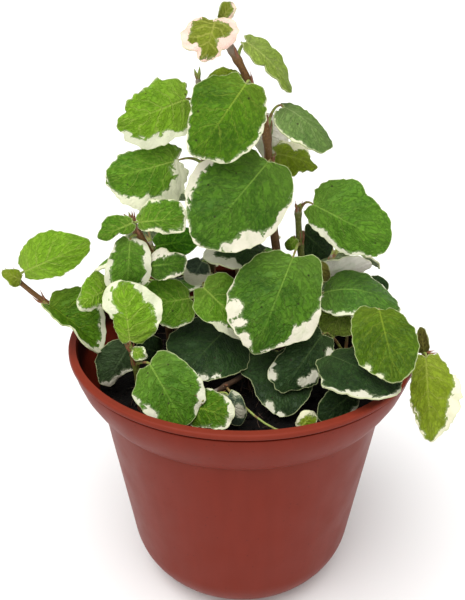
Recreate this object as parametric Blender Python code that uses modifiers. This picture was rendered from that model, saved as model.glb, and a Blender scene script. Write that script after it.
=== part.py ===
"""Creeping fig with cream-edged leaves, growing from a moulded plant pot.

The pot is one turned shell with drain holes, the soil is one plug that fills it, and each
leafy stem is one body: its stem, its leaf stalks and its blades. Sizes are in metres. The
origin is at the middle of the pot's foot, with +Z up and -Y towards the viewer.
"""

import math
import random
from dataclasses import dataclass, field

import bmesh
import bpy
from mathutils import Matrix, Quaternion, Vector, noise

MM = 0.001
GAP = 0.3 * MM
POINT_WELD = 0.01 * MM
UNION_WELD = 0.002 * MM
SMOOTH_ANGLE = math.radians(35)

# Pot: a 10.5 cm moulded pot, a flared collar above a tapered wall, rounded at the foot
POT_HEIGHT = 85.0 * MM
RIM_RADIUS = 52.5 * MM
LIP_WIDTH = 2.2 * MM
LIP_HEIGHT = 1.6 * MM
LIP_ROUND = 0.7 * MM
GROOVE_DEPTH = 0.6 * MM
GROOVE_HEIGHT = 0.8 * MM
COLLAR_TOP_RADIUS = 51.8 * MM
COLLAR_BULGE = ((51.2 * MM, 79.5 * MM), (49.8 * MM, 75.5 * MM), (47.9 * MM, 72.0 * MM))
COLLAR_FOOT_RADIUS = 46.4 * MM
COLLAR_FOOT_HEIGHT = 69.0 * MM
WALL_TOP_RADIUS = 44.3 * MM
WALL_FOOT_RADIUS = 34.6 * MM
STEP_ROUND = 0.6 * MM
FOOT_ROUND = 18.0 * MM
FOOT_ROUND_START = -8
FOOT_ROUND_STEPS = 5
FOOT_HOLLOW_RADIUS = 16.0 * MM
FOOT_HOLLOW_DEPTH = 1.0 * MM
FOOT_PAD_RADIUS = 6.0 * MM
FOOT_SLOPE = 1.0 * MM
WALL = 1.4 * MM
FLOOR_TURN_END = -80
FLOOR_STEPS = 3
STEP_LOW = COLLAR_FOOT_HEIGHT - WALL
STEP_HIGH = COLLAR_FOOT_HEIGHT + 1.2 * MM
POT_STEPS = 36
DRAIN_HOLES = 6
DRAIN_RING_RADIUS = 11.0 * MM
DRAIN_HOLE_RADIUS = 2.6 * MM
DRAIN_CUT = (-2.0 * MM, 5.0 * MM)
HOLE_SIDES = 8

# Soil: dark peat up to 15 mm under the lip, lumpy on top
SOIL_GAP = 0.45 * MM
SOIL_TOP = 70.0 * MM
SOIL_LUMP = 1.0 * MM
SOIL_LUMP_SIZE = 9.0 * MM
SOIL_EVEN_EDGE = 2.0 * MM
SOIL_HOLE_TOP = 5.0 * MM
SOIL_STEPS = 24
SOIL_RINGS = 4
ROOT_DEPTH = 9.0 * MM
TOP_MARGIN = 0.1 * MM

# Growth: woody stems, thin leaf stalks and blades
STEM_ROUNDNESS = 1
STEM_STEPS = 2
STEM_RISE = 2.0 * MM
STEM_LEAN = 0.5
STEM_END_SHARE = 0.6
STALK_ROUNDNESS = 0
STALK_RADIUS = 0.55 * MM
STALK_SMALL_SHARE = 0.7
STALK_TIP_SHARE = 0.5
STALK_POINTS = 4
STALK_LOWEST = 3.0 * MM
STALK_LEAN = 0.5
STALK_BEND = 0.35
STALK_INTO_BLADE = 1.4 * MM
STALK_UNDER_FACE = 0.1 * MM
BLADE_THICKNESS = 0.7 * MM
BLADE_COLUMNS = 4
BLADE_ROWS = 6
SMALL_COLUMNS = 2
SMALL_ROWS = 3
LOBE_ANGLE = math.radians(163)
LOBE_BACK = 0.10
LOBE_FULLNESS = 0.8
TIP_POINT = 0.25
BASE_CROWDING = 1.5
RAGGED_DEPTH = 0.035
RAGGED_TURNS = 2.5
RIPPLE_TURNS = 1.6
TIP_CALM = 4

# The photograph's view, by which a place seen in it becomes a place on the plant
PHOTO_MIDDLE = (232.5, 300.0)
PHOTO_FOCAL = 718.4
EYE = Vector((0.0, -193.5, 192.0)) * MM
EYE_DROP = math.radians(26.46)
EYE_TURN = math.radians(-0.89)
EYE_AIM = Vector((
    math.sin(EYE_TURN) * math.cos(EYE_DROP),
    math.cos(EYE_TURN) * math.cos(EYE_DROP),
    -math.sin(EYE_DROP),
))
EYE_RIGHT = Vector((math.cos(EYE_TURN), -math.sin(EYE_TURN), 0.0))
EYE_UP = EYE_RIGHT.cross(EYE_AIM)


def seen(across, down, depth):
    """The place at a pixel of the photograph, depth mm behind the pot's axis or, below 0, before it."""
    ray = (
        EYE_AIM
        + EYE_RIGHT * ((across - PHOTO_MIDDLE[0]) / PHOTO_FOCAL)
        + EYE_UP * ((PHOTO_MIDDLE[1] - down) / PHOTO_FOCAL)
    )
    return EYE + ray * ((depth * MM - EYE.y) / ray.y)


def at(x, y, z):
    """A place in mm from the middle of the pot's foot."""
    return Vector((x, y, z)) * MM


@dataclass
class Leaf:
    """One leaf, whose blade runs from base to tip and faces the eye, or facing where that is given."""

    base: Vector
    tip: Vector
    width: float            # mm across the blade
    right: float = 0.5      # share of the width right of the midrib, seen with the tip up
    widest: float = 0.42    # where along the midrib the blade is widest
    roll: float = 0.0       # degrees that the face turns towards the blade's own right
    fold: float = -8.0      # degrees that each half rises from the midrib, or drops where below 0
    arch: float = 1.2       # mm that the midrib bows up between base and tip
    wave: float = 0.5       # mm that the margin waves up and down
    facing: Vector = None
    back: float = 5.0       # mm down the stem from the place nearest to the base, where the stalk leaves
    swing: float = 0.5      # 1: the stalk comes in along the midrib, 0: from behind the blade
    small: bool = False     # a young leaf, with fewer faces


@dataclass
class Stem:
    """One leafy stem, from the places that it grows through above the soil."""

    route: list
    radius: float           # mm at the soil
    tip_radius: float       # mm at its tip
    leaves: list = field(default_factory=list)


STEMS = {
    "stem_main": Stem(
        route=[
            seen(277, 262, 0), seen(275, 240, 0), seen(271, 200, 0), seen(268, 150, 0),
            seen(265, 125, 0), seen(255, 96, 0), seen(241, 66, 0), seen(228, 44, 0),
        ],
        radius=1.5,
        tip_radius=0.95,
        leaves=[
            Leaf(base=seen(215, 21, -2), tip=seen(203, 63, -7), width=15, back=0, swing=0.7),
            Leaf(base=seen(222, 18, 1), tip=seen(233, 2, 2), width=4, fold=14, arch=0.4, back=2, small=True),
            Leaf(base=seen(244, 44, 1), tip=seen(290, 92, 1), width=13, roll=-60, fold=-10, back=2),
            Leaf(base=seen(247, 82, -5), tip=seen(194, 159, -12), width=20.5, right=0.46, back=3),
            Leaf(base=seen(269, 161, -5), tip=seen(197, 246, -15), width=27, right=0.52, widest=0.45, back=3),
            Leaf(base=seen(281, 105, 1), tip=seen(332, 148, -3), width=13, roll=-48, right=0.62, back=5),
            Leaf(base=seen(276, 154, 5), tip=seen(318, 168, 6), width=10.5, roll=-30, back=3),
            Leaf(base=seen(263, 120, 9), tip=seen(280, 163, 10), width=9.5, fold=-12, back=3),
            Leaf(base=seen(243, 86, 4), tip=seen(205, 80, 5), width=11, roll=20, back=3),
            Leaf(base=seen(264, 251, 0), tip=seen(203, 257, -4), width=14, roll=52, back=3),
            Leaf(base=at(-1, 8, 153), tip=at(-9, 23, 144), width=18, facing=Vector((-0.2, 0.6, 0.75))),
            Leaf(base=at(7, 6, 131), tip=at(-1, 23, 122), width=19, facing=Vector((0.1, 0.6, 0.75))),
        ],
    ),
    "stem_hidden": Stem(
        route=[
            seen(216, 300, 8), seen(212, 270, 8), seen(208, 220, 7), seen(206, 170, 6),
            seen(202, 120, 5), seen(198, 78, 4),
        ],
        radius=1.3,
        tip_radius=0.8,
        leaves=[
            Leaf(base=seen(186, 99, 1), tip=seen(118, 126, -3), width=16.5, right=0.47, back=4),
            Leaf(base=seen(182, 159, 1), tip=seen(105, 180, -3), width=16.5, right=0.37, back=4, swing=0.9),
            Leaf(base=seen(204, 288, -8), tip=seen(256, 338, -13), width=14, right=0.4, back=4, swing=0.2),
            Leaf(base=seen(202, 262, 1), tip=seen(189, 284, -3), width=8, back=3, small=True),
            Leaf(base=at(-15, 12, 147), tip=at(-29, 23, 140), width=16, facing=Vector((-0.3, 0.6, 0.7))),
            Leaf(base=at(-12, 14, 126), tip=at(-22, 29, 117), width=17, facing=Vector((-0.3, 0.6, 0.7))),
        ],
    ),
    "stem_second": Stem(
        route=[seen(304, 285, 3), seen(302, 262, 3), seen(299, 235, 3), seen(298, 207, 3)],
        radius=1.4,
        tip_radius=0.9,
        leaves=[
            Leaf(base=seen(311, 203, -1), tip=seen(388, 243, -6), width=19.5, right=0.46, back=2, swing=0.8),
            Leaf(base=seen(304, 232, 6), tip=seen(329, 256, 6), width=11, back=2),
            Leaf(base=seen(293, 257, -10), tip=seen(253, 357, -23), width=25.5, widest=0.46, back=2),
            Leaf(base=seen(326, 298, -4), tip=seen(401, 316, -8), width=19, roll=-50, fold=-12, arch=4),
            Leaf(base=seen(320, 275, 6), tip=seen(357, 268, 8), width=8, roll=60, back=3),
            Leaf(base=seen(319, 264, -3), tip=seen(327, 281, -5), width=4.5, back=3, small=True),
            Leaf(base=seen(296, 239, 2), tip=seen(287, 249, 2), width=3.5, back=2, small=True),
            Leaf(base=seen(352, 291, 6), tip=seen(389, 283, 5), width=9.5, back=2),
        ],
    ),
    "stem_left": Stem(
        route=[
            seen(166, 310, -2), seen(160, 285, -3), seen(152, 256, -4), seen(140, 236, -5),
            seen(131, 221, -5),
        ],
        radius=1.3,
        tip_radius=0.9,
        leaves=[
            Leaf(base=seen(138, 222, -8), tip=seen(185, 218, -9), width=9.5, right=0.42, back=1),
            Leaf(base=seen(132, 223, -8), tip=seen(99, 237, -10), width=6, back=0, small=True),
            Leaf(base=seen(130, 239, -8), tip=seen(127, 292, -12), width=11.5, back=1),
            Leaf(base=seen(150, 266, -9), tip=seen(187, 262, -9), width=9, back=2),
            Leaf(base=seen(156, 246, -2), tip=seen(200, 238, -2), width=9, back=4),
            Leaf(base=seen(192, 298, -6), tip=seen(145, 305, -8), width=13.5, back=2),
            Leaf(base=seen(160, 352, -4), tip=seen(136, 346, -6), width=9, back=2, small=True),
        ],
    ),
    "stem_left_edge": Stem(
        route=[at(-42, -2, 78), at(-49, -3, 89), seen(45, 302, -4), seen(22, 284, -5), seen(11, 275, -5)],
        radius=1.1,
        tip_radius=0.7,
        leaves=[
            Leaf(base=seen(46, 303, -6), tip=seen(100, 350, -12), width=16, roll=-33, fold=40, back=0),
            Leaf(base=seen(25, 271, -6), tip=seen(91, 242, -5), width=12, right=0.4, back=0),
            Leaf(base=seen(20, 279, -7), tip=seen(4, 272, -7), width=4.5, back=0, small=True),
        ],
    ),
    "stem_left_front": Stem(
        route=[seen(137, 376, -20), seen(135, 362, -20), seen(131, 350, -20)],
        radius=1.0,
        tip_radius=0.7,
        leaves=[
            Leaf(base=seen(130, 342, -21), tip=seen(122, 279, -15), width=15.5, right=0.6, back=0, swing=0.9),
            Leaf(base=seen(133, 351, -21), tip=seen(147, 357, -22), width=4, back=0, small=True),
            Leaf(base=seen(150, 364, -25), tip=seen(187, 429, -33), width=17, widest=0.5, back=3, swing=0.2),
            Leaf(base=seen(128, 347, -12), tip=seen(106, 384, -16), width=13, back=3),
            Leaf(base=seen(107, 289, -9), tip=seen(78, 304, -17), width=12, back=4),
        ],
    ),
    "stem_front": Stem(
        route=[at(1, -11, 76), at(-2, -17, 78), at(-7, -24, 79), at(-10, -29, 80)],
        radius=1.0,
        tip_radius=0.7,
        leaves=[
            Leaf(base=seen(228, 328, -3), tip=seen(184, 376, -20), width=24, facing=Vector((0, -0.5, 0.85))),
            Leaf(base=seen(190, 405, -33), tip=seen(235, 418, -36), width=11.5, back=0),
            Leaf(base=seen(228, 395, -28), tip=seen(240, 425, -30), width=7, back=0, small=True),
            Leaf(base=seen(278, 352, -11), tip=seen(288, 416, -28), width=18, widest=0.3, back=8),
            Leaf(base=seen(300, 427, -36), tip=seen(315, 413, -33), width=5, back=0, small=True),
        ],
    ),
    "stem_right": Stem(
        route=[at(32, -7, 82), at(38, -13, 90), at(44, -17, 92), at(50, -21, 90.5)],
        radius=1.1,
        tip_radius=0.7,
        leaves=[
            Leaf(base=seen(379, 309, -22), tip=seen(398, 384, -43), width=16.5, back=4, swing=0.2),
            Leaf(base=seen(426, 357, -25), tip=seen(431, 442, -32), width=14.5, right=0.38, back=0),
            Leaf(base=seen(424, 352, -22), tip=seen(421, 327, -20), width=3.4, back=0, small=True),
            Leaf(
                base=seen(330, 356, -24), tip=seen(399, 396, -42), width=19, fold=-2,
                facing=Vector((0.1, -0.22, 0.95)), back=14, swing=0.3,
            ),
            Leaf(base=seen(322, 335, -14), tip=seen(279, 395, -25), width=14.5, right=0.45, back=9),
            Leaf(base=seen(345, 303, -3), tip=seen(330, 339, -9), width=13, back=9),
            Leaf(base=seen(352, 394, -29), tip=seen(319, 420, -34), width=9, back=6),
        ],
    ),
}

# Three more stems behind, which the photograph hides: each has leaves by turns to its two sides
BACK_STEMS = {
    "stem_back_left": dict(foot=at(-22, 17, 70), top=at(-31, 29, 103), leaves=5, seed=3),
    "stem_back": dict(foot=at(0, 24, 70), top=at(-3, 37, 108), leaves=6, seed=4),
    "stem_back_right": dict(foot=at(21, 16, 70), top=at(30, 28, 99), leaves=5, seed=7),
}
BACK_LEAF_LENGTH = (14.0, 19.0)
BACK_LEAF_WIDTH_SHARE = 0.86
BACK_STALK = (5.0, 8.0)
BACK_STALK_RISE = 3.0 * MM
BACK_TURN = (88.0, 35.0)
BACK_TURN_SPREAD = 8
BACK_DROOP = (4.0, 36.0)
BACK_DROOP_SPREAD = 4
BACK_ROLL_SPREAD = 10
BACK_LOWEST = 0.42
BACK_START = 8.0 * MM
BACK_BOW = 0.12


def mix(low, high, share):
    return low + (high - low) * share


def back_stem(foot, top, leaves, seed):
    """A stem that bows outwards from foot to top, with a leaf by turns to its left and its right."""
    rng = random.Random(seed)
    half_way = foot.lerp(top, 0.5) + Vector((0, 0, (top - foot).length * BACK_BOW))
    route = [foot + Vector((0, 0, BACK_START)), half_way, top]
    outward = Vector((top.x, top.y, 0)).normalized()
    blades = []
    for index in range(leaves):
        share = mix(BACK_LOWEST, 1.0, index / (leaves - 1))
        side = 1 if index % 2 else -1
        turn = side * mix(*BACK_TURN, share) + rng.uniform(-BACK_TURN_SPREAD, BACK_TURN_SPREAD)
        heading = Quaternion((0, 0, 1), math.radians(turn)) @ outward
        start = foot.lerp(top, share) + heading * rng.uniform(*BACK_STALK) * MM
        start.z += BACK_STALK_RISE
        droop = mix(*BACK_DROOP, share) + rng.uniform(-BACK_DROOP_SPREAD, BACK_DROOP_SPREAD)
        drop = math.radians(droop)
        length = rng.uniform(*BACK_LEAF_LENGTH)
        run = heading * math.cos(drop) + Vector((0, 0, -math.sin(drop)))
        blades.append(Leaf(
            base=start,
            tip=start + run * length * MM,
            width=length * BACK_LEAF_WIDTH_SHARE,
            facing=heading * math.sin(drop) + Vector((0, 0, math.cos(drop))),
            roll=rng.uniform(-BACK_ROLL_SPREAD, BACK_ROLL_SPREAD),
            back=4,
            swing=0.6,
        ))
    return Stem(route=route, radius=1.2, tip_radius=0.8, leaves=blades)


def link(collection, body):
    collection.objects.link(body)
    return body


def remove(body):
    bpy.data.objects.remove(body, do_unlink=True)


def as_mesh(body):
    """Replaces a body by the mesh that its modifiers or its curve make, and gives that back."""
    graph = bpy.context.evaluated_depsgraph_get()
    graph.update()
    mesh = bpy.data.meshes.new_from_object(body.evaluated_get(graph))
    name = body.name
    place = body.matrix_world.copy()
    collection = body.users_collection[0]
    remove(body)
    made = bpy.data.objects.new(name, mesh)
    made.matrix_world = place
    return link(collection, made)


def weld(body, distance):
    bm = bmesh.new()
    bm.from_mesh(body.data)
    bmesh.ops.remove_doubles(bm, verts=bm.verts, dist=distance)
    bm.to_mesh(body.data)
    bm.free()


def boolean(body, kind, group):
    """Cuts or joins a body with all of a collection's bodies at once, and removes those."""
    step = body.modifiers.new(kind, "BOOLEAN")
    step.operation = kind
    step.solver = "EXACT"
    step.operand_type = "COLLECTION"
    step.collection = group
    body = as_mesh(body)
    for piece in list(group.objects):
        remove(piece)
    return body


def arc(middle, radius, start, end, steps):
    """Points of a round stretch of a profile, from one angle to another in degrees."""
    angles = [math.radians(mix(start, end, i / steps)) for i in range(steps + 1)]
    return [(middle[0] + radius * math.cos(a), middle[1] + radius * math.sin(a)) for a in angles]


def turned(collection, name, profile, steps):
    """A body turned round the Z axis from (radius, height) points that run down its outer side."""
    bm = bmesh.new()
    ring = [bm.verts.new((radius, 0.0, height)) for radius, height in profile]
    for start, end in zip(ring, ring[1:]):
        bm.edges.new((start, end))
    if profile[0][0] > 0:
        bm.edges.new((ring[-1], ring[0]))
    mesh = bpy.data.meshes.new(name)
    bm.to_mesh(mesh)
    bm.free()
    body = link(collection, bpy.data.objects.new(name, mesh))
    screw = body.modifiers.new("Turn", "SCREW")
    screw.steps = steps
    screw.render_steps = steps
    screw.use_merge_vertices = True
    screw.merge_threshold = 2 * POINT_WELD
    return as_mesh(body)


def wall_line(height):
    """The outer radius of the tapered wall at a height."""
    return mix(WALL_FOOT_RADIUS, WALL_TOP_RADIUS, height / COLLAR_FOOT_HEIGHT)


def pot_profile():
    """The pot's section: down its outer side, across its foot and up its inner side."""
    lip_foot = POT_HEIGHT - LIP_HEIGHT
    groove_foot = lip_foot - GROOVE_HEIGHT
    rim_middle = (RIM_RADIUS - LIP_ROUND, POT_HEIGHT - LIP_ROUND)
    foot_middle = (wall_line(FOOT_ROUND) - FOOT_ROUND / math.cos(math.radians(FOOT_ROUND_START)), FOOT_ROUND)
    floor = FOOT_HOLLOW_DEPTH + WALL
    outer = [(RIM_RADIUS - LIP_WIDTH, POT_HEIGHT)]
    outer += arc(rim_middle, LIP_ROUND, 90, 0, 2)
    outer += [
        (RIM_RADIUS, lip_foot),
        (COLLAR_TOP_RADIUS - GROOVE_DEPTH, lip_foot),
        (COLLAR_TOP_RADIUS - GROOVE_DEPTH, groove_foot),
        (COLLAR_TOP_RADIUS, groove_foot),
        *COLLAR_BULGE,
        (COLLAR_FOOT_RADIUS, COLLAR_FOOT_HEIGHT + STEP_ROUND),
        (COLLAR_FOOT_RADIUS - STEP_ROUND, COLLAR_FOOT_HEIGHT),
        (WALL_TOP_RADIUS, COLLAR_FOOT_HEIGHT - STEP_ROUND),
    ]
    outer += arc(foot_middle, FOOT_ROUND, FOOT_ROUND_START, -90, FOOT_ROUND_STEPS)
    outer += [
        (FOOT_HOLLOW_RADIUS, 0.0),
        (FOOT_HOLLOW_RADIUS - FOOT_SLOPE, FOOT_HOLLOW_DEPTH),
        (FOOT_PAD_RADIUS + FOOT_SLOPE, FOOT_HOLLOW_DEPTH),
        (FOOT_PAD_RADIUS, 0.0),
        (0.0, 0.0),
    ]
    inner = [(0.0, floor)]
    inner += reversed(arc(foot_middle, FOOT_ROUND - WALL, FOOT_ROUND_START, FLOOR_TURN_END, FLOOR_STEPS))
    inner += [
        (WALL_TOP_RADIUS - WALL, STEP_LOW),
        (COLLAR_FOOT_RADIUS - WALL, STEP_HIGH),
        *[(radius - WALL, height) for radius, height in COLLAR_BULGE[::-2]],
        (RIM_RADIUS - LIP_WIDTH - STEP_ROUND, groove_foot),
    ]
    return outer + inner


def cylinder(collection, name, radius, low, high, place):
    """An upright cylinder between two heights, for cutting a hole."""
    bm = bmesh.new()
    bmesh.ops.create_cone(
        bm, cap_ends=True, segments=HOLE_SIDES, radius1=radius, radius2=radius, depth=high - low,
    )
    mesh = bpy.data.meshes.new(name)
    bm.to_mesh(mesh)
    bm.free()
    body = link(collection, bpy.data.objects.new(name, mesh))
    body.location = (place[0], place[1], (low + high) / 2)
    body.hide_render = True
    body.display_type = "WIRE"
    return body


def make_pot(collection, cutters):
    pot = turned(collection, "pot", pot_profile(), POT_STEPS)
    for index in range(DRAIN_HOLES):
        angle = math.tau * index / DRAIN_HOLES
        place = (DRAIN_RING_RADIUS * math.cos(angle), DRAIN_RING_RADIUS * math.sin(angle))
        cylinder(cutters, f"drain_{index}", DRAIN_HOLE_RADIUS, *DRAIN_CUT, place)
    return boolean(pot, "DIFFERENCE", cutters)


def soil_profile():
    """The soil's section: across its top from the middle, down the pot's inner side and over its floor."""
    side = WALL + SOIL_GAP
    foot_middle = (wall_line(FOOT_ROUND) - FOOT_ROUND / math.cos(math.radians(FOOT_ROUND_START)), FOOT_ROUND)
    step = (SOIL_TOP - STEP_LOW) / (STEP_HIGH - STEP_LOW)
    top_radius = mix(WALL_TOP_RADIUS, COLLAR_FOOT_RADIUS, step) - side
    top = [(top_radius * i / SOIL_RINGS, SOIL_TOP) for i in range(SOIL_RINGS + 1)]
    down = [(WALL_TOP_RADIUS - side, STEP_LOW)]
    down += arc(foot_middle, FOOT_ROUND - side, FOOT_ROUND_START, FLOOR_TURN_END, FLOOR_STEPS)
    down += [(0.0, FOOT_HOLLOW_DEPTH + WALL + SOIL_GAP)]
    return top + down


def make_soil(collection, cutters, feet):
    """The soil plug: lumps on its top by a noise formula, and a plain hole for each stem."""
    soil = turned(collection, "soil", soil_profile(), SOIL_STEPS)
    for vertex in soil.data.vertices:
        place = vertex.co
        edge = math.hypot(place.x, place.y) > COLLAR_FOOT_RADIUS - WALL - SOIL_EVEN_EDGE
        if place.z > SOIL_TOP - TOP_MARGIN and not edge:
            place.z += SOIL_LUMP * noise.noise(place / SOIL_LUMP_SIZE)
    for name, (foot, radius) in feet.items():
        low, high = foot.z - GAP, SOIL_TOP + SOIL_HOLE_TOP
        cylinder(cutters, "hole_" + name, radius + 2 * GAP, low, high, foot)
    return boolean(soil, "DIFFERENCE", cutters)


def smooth_route(points):
    """Points along a smooth curve through the given ones."""
    ends = [points[0] * 2 - points[1]] + points + [points[-1] * 2 - points[-2]]
    route = []
    for before, start, end, after in zip(ends, ends[1:], ends[2:], ends[3:]):
        for step in range(STEM_STEPS):
            t = step / STEM_STEPS
            route.append(0.5 * (
                2 * start
                + (end - before) * t
                + (2 * before - 5 * start + 4 * end - after) * t ** 2
                + (3 * start - before - 3 * end + after) * t ** 3
            ))
    return route + [points[-1]]


def tube(collection, name, points, radii, roundness):
    """A round rod through the points, as a closed mesh."""
    curve = bpy.data.curves.new(name, "CURVE")
    curve.dimensions = "3D"
    curve.bevel_depth = 1.0
    curve.bevel_resolution = roundness
    curve.use_fill_caps = True
    spline = curve.splines.new("POLY")
    spline.points.add(len(points) - 1)
    for knot, place, radius in zip(spline.points, points, radii):
        knot.co = (*place, 1.0)
        knot.radius = radius
    rod = as_mesh(link(collection, bpy.data.objects.new(name, curve)))
    weld(rod, POINT_WELD)
    return rod


def stem_points(stem):
    """The stem's axis: straight up out of the soil, then through its route."""
    start = stem.route[0]
    lean = (stem.route[1] - start).normalized()
    above = start.z - SOIL_TOP
    foot_x = start.x - lean.x * above * STEM_LEAN
    foot_y = start.y - lean.y * above * STEM_LEAN
    foot = Vector((foot_x, foot_y, SOIL_TOP - ROOT_DEPTH))
    collar = Vector((foot_x, foot_y, SOIL_TOP + STEM_RISE))
    return [foot] + smooth_route([collar] + stem.route)


def nearest_on(points, place):
    """How far along the points, in metres, the place nearest to a given one lies."""
    best = (math.inf, 0.0)
    run = 0.0
    for start, end in zip(points, points[1:]):
        span = end - start
        share = max(0.0, min(1.0, (place - start).dot(span) / span.length_squared))
        gap = (start + span * share - place).length
        best = min(best, (gap, run + share * span.length))
        run += span.length
    return best[1]


def along(points, distance):
    """The place and the heading at a distance along the points."""
    for start, end in zip(points, points[1:]):
        span = (end - start).length
        if distance <= span:
            return start.lerp(end, distance / span), (end - start).normalized()
        distance -= span
    return points[-1], (points[-1] - points[-2]).normalized()


def leaf_frame(leaf):
    """The blade's own axes: +Y from base to tip, +Z out of its face, +X to its right."""
    forward = (leaf.tip - leaf.base).normalized()
    facing = leaf.facing or (EYE - (leaf.base + leaf.tip) / 2)
    face = (facing - forward * facing.dot(forward)).normalized()
    face = Quaternion(forward, math.radians(leaf.roll)) @ face
    right = forward.cross(face)
    frame = Matrix((right, forward, face)).transposed().to_4x4()
    frame.translation = leaf.base
    return frame


def margin(leaf, share):
    """The margin from lobe to tip: how far out, in half widths, and how far along, in lengths."""
    angle = LOBE_ANGLE * (1 - share)
    if angle > math.pi / 2:
        forward = leaf.widest + (leaf.widest + LOBE_BACK) * math.cos(angle)
        return math.sin(angle) ** LOBE_FULLNESS, forward
    forward = leaf.widest + (1 - leaf.widest) * math.cos(angle)
    return math.sin(angle) ** (1 + TIP_POINT * math.cos(angle)), forward


def blade_point(leaf, phases, across, share):
    """A place on the blade: across from -1 to 1, share from 0 at the base to 1 at the tip."""
    length = (leaf.tip - leaf.base).length
    out, forward = margin(leaf, share)
    side = 1 if across > 0 else -1
    half = leaf.width * MM * (leaf.right if across > 0 else 1 - leaf.right)
    reach = abs(across)
    teeth = math.sin(math.tau * RAGGED_TURNS * share + phases[side])
    x = side * half * out * reach * (1 + RAGGED_DEPTH * teeth * reach ** 3)
    y = length * mix(share ** BASE_CROWDING, forward, reach)
    bow = 4 * y / length * (1 - y / length)
    ripple = math.sin(math.tau * RIPPLE_TURNS * share + phases[side])
    z = abs(x) * math.tan(math.radians(leaf.fold))
    z += leaf.arch * MM * bow
    z += leaf.wave * MM * reach ** 2 * ripple * min(1.0, TIP_CALM * (1 - share))
    return Vector((x, y, z))


def make_blade(collection, name, leaf, phases):
    """A leaf's blade: a grid drawn out to the leaf's outline, split in triangles and made thick."""
    columns = SMALL_COLUMNS if leaf.small else BLADE_COLUMNS
    rows = SMALL_ROWS if leaf.small else BLADE_ROWS
    bm = bmesh.new()
    bmesh.ops.create_grid(bm, x_segments=columns, y_segments=rows, size=1)
    for vertex in bm.verts:
        vertex.co = blade_point(leaf, phases, vertex.co.x, (vertex.co.y + 1) / 2)
    bmesh.ops.remove_doubles(bm, verts=bm.verts, dist=POINT_WELD)
    bmesh.ops.triangulate(bm, faces=bm.faces)
    mesh = bpy.data.meshes.new(name)
    bm.to_mesh(mesh)
    bm.free()
    blade = link(collection, bpy.data.objects.new(name, mesh))
    blade.matrix_world = leaf_frame(leaf)
    thick = blade.modifiers.new("Thickness", "SOLIDIFY")
    thick.thickness = BLADE_THICKNESS
    thick.offset = 0
    return as_mesh(blade)


def stalk_points(leaf, axis):
    """The stalk's axis: out of the stem, round to the blade's base and a little way under the midrib."""
    reach = max(STALK_LOWEST, nearest_on(axis, leaf.base) - leaf.back * MM)
    joint, heading = along(axis, reach)
    frame = leaf_frame(leaf)
    forward = frame.col[1].to_3d()
    face = frame.col[2].to_3d()
    bend_length = (leaf.base - joint).length * STALK_BEND
    leave = (heading * STALK_LEAN + (leaf.base - joint).normalized()).normalized() * bend_length
    arrive = (forward * leaf.swing + face * (1 - leaf.swing)).normalized() * bend_length
    bend = [joint, joint + leave, leaf.base - arrive, leaf.base]
    points = []
    for step in range(STALK_POINTS):
        t = step / (STALK_POINTS - 1)
        points.append(
            bend[0] * (1 - t) ** 3
            + bend[1] * 3 * t * (1 - t) ** 2
            + bend[2] * 3 * t ** 2 * (1 - t)
            + bend[3] * t ** 3
        )
    under = Vector((0, STALK_INTO_BLADE, STALK_UNDER_FACE))
    return points + [frame @ under]


def make_stem(collection, name, stem):
    """One leafy stem, with its stalks and blades joined to it as one body."""
    growth = bpy.data.collections.new(name + "_growth")
    bpy.context.scene.collection.children.link(growth)
    axis = stem_points(stem)
    last = len(axis) - 1
    radii = [mix(stem.radius, stem.tip_radius, i / last) * MM for i in range(last)]
    radii.append(stem.tip_radius * MM * STEM_END_SHARE)
    body = tube(collection, name, axis, radii, STEM_ROUNDNESS)
    for index, leaf in enumerate(stem.leaves):
        rng = random.Random(f"{name} {index}")
        phases = {1: rng.uniform(0, math.tau), -1: rng.uniform(0, math.tau)}
        points = stalk_points(leaf, axis)
        slim = STALK_RADIUS * (STALK_SMALL_SHARE if leaf.small else 1.0)
        count = len(points) - 1
        thin = [slim * mix(1, STALK_TIP_SHARE, i / count) for i in range(count + 1)]
        tube(growth, f"{name}_stalk_{index}", points, thin, STALK_ROUNDNESS)
        make_blade(growth, f"{name}_blade_{index}", leaf, phases)
    body = boolean(body, "UNION", growth)
    bpy.data.collections.remove(growth)
    weld(body, UNION_WELD)
    return body


def material(name, colour, roughness):
    """A plain finish for one kind of piece."""
    made = bpy.data.materials.new(name)
    made.use_nodes = True
    shader = made.node_tree.nodes["Principled BSDF"]
    shader.inputs["Base Color"].default_value = (*colour, 1.0)
    shader.inputs["Roughness"].default_value = roughness
    shader.inputs["Metallic"].default_value = 0.0
    made.diffuse_color = (*colour, 1.0)
    return made


def finish(body, surface):
    body.data.materials.clear()
    body.data.materials.append(surface)
    body.data.shade_smooth()
    body.data.set_sharp_from_angle(angle=SMOOTH_ANGLE)


def build():
    for old in list(bpy.data.objects):
        bpy.data.objects.remove(old, do_unlink=True)
    plant = bpy.data.collections.new("potted_creeping_fig")
    cutters = bpy.data.collections.new("cutters")
    for collection in (plant, cutters):
        bpy.context.scene.collection.children.link(collection)

    stems = dict(STEMS)
    for name, plan in BACK_STEMS.items():
        stems[name] = back_stem(**plan)
    feet = {name: (stem_points(stem)[0], stem.radius * MM) for name, stem in stems.items()}

    pot = make_pot(plant, cutters)
    finish(pot, material("moulded_pot", (0.26, 0.045, 0.03), 0.42))
    soil = make_soil(plant, cutters, feet)
    finish(soil, material("peat", (0.012, 0.009, 0.007), 0.95))
    leafy = material("leaf", (0.09, 0.22, 0.03), 0.45)
    for name, stem in stems.items():
        body = make_stem(plant, name, stem)
        finish(body, leafy)


build()
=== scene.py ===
"""Creeping fig with cream-edged leaves in a moulded nursery pot, dressed over its CAD frame.

Sizes are in metres unless a comment says otherwise. The origin is at the middle of the pot's
foot, with +Z up and -Y towards the viewer. The sections follow the plant as it is potted: the pot,
the peat in it, the stems that root in the peat, their leaves, and then the studio round them.
"""

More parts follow.
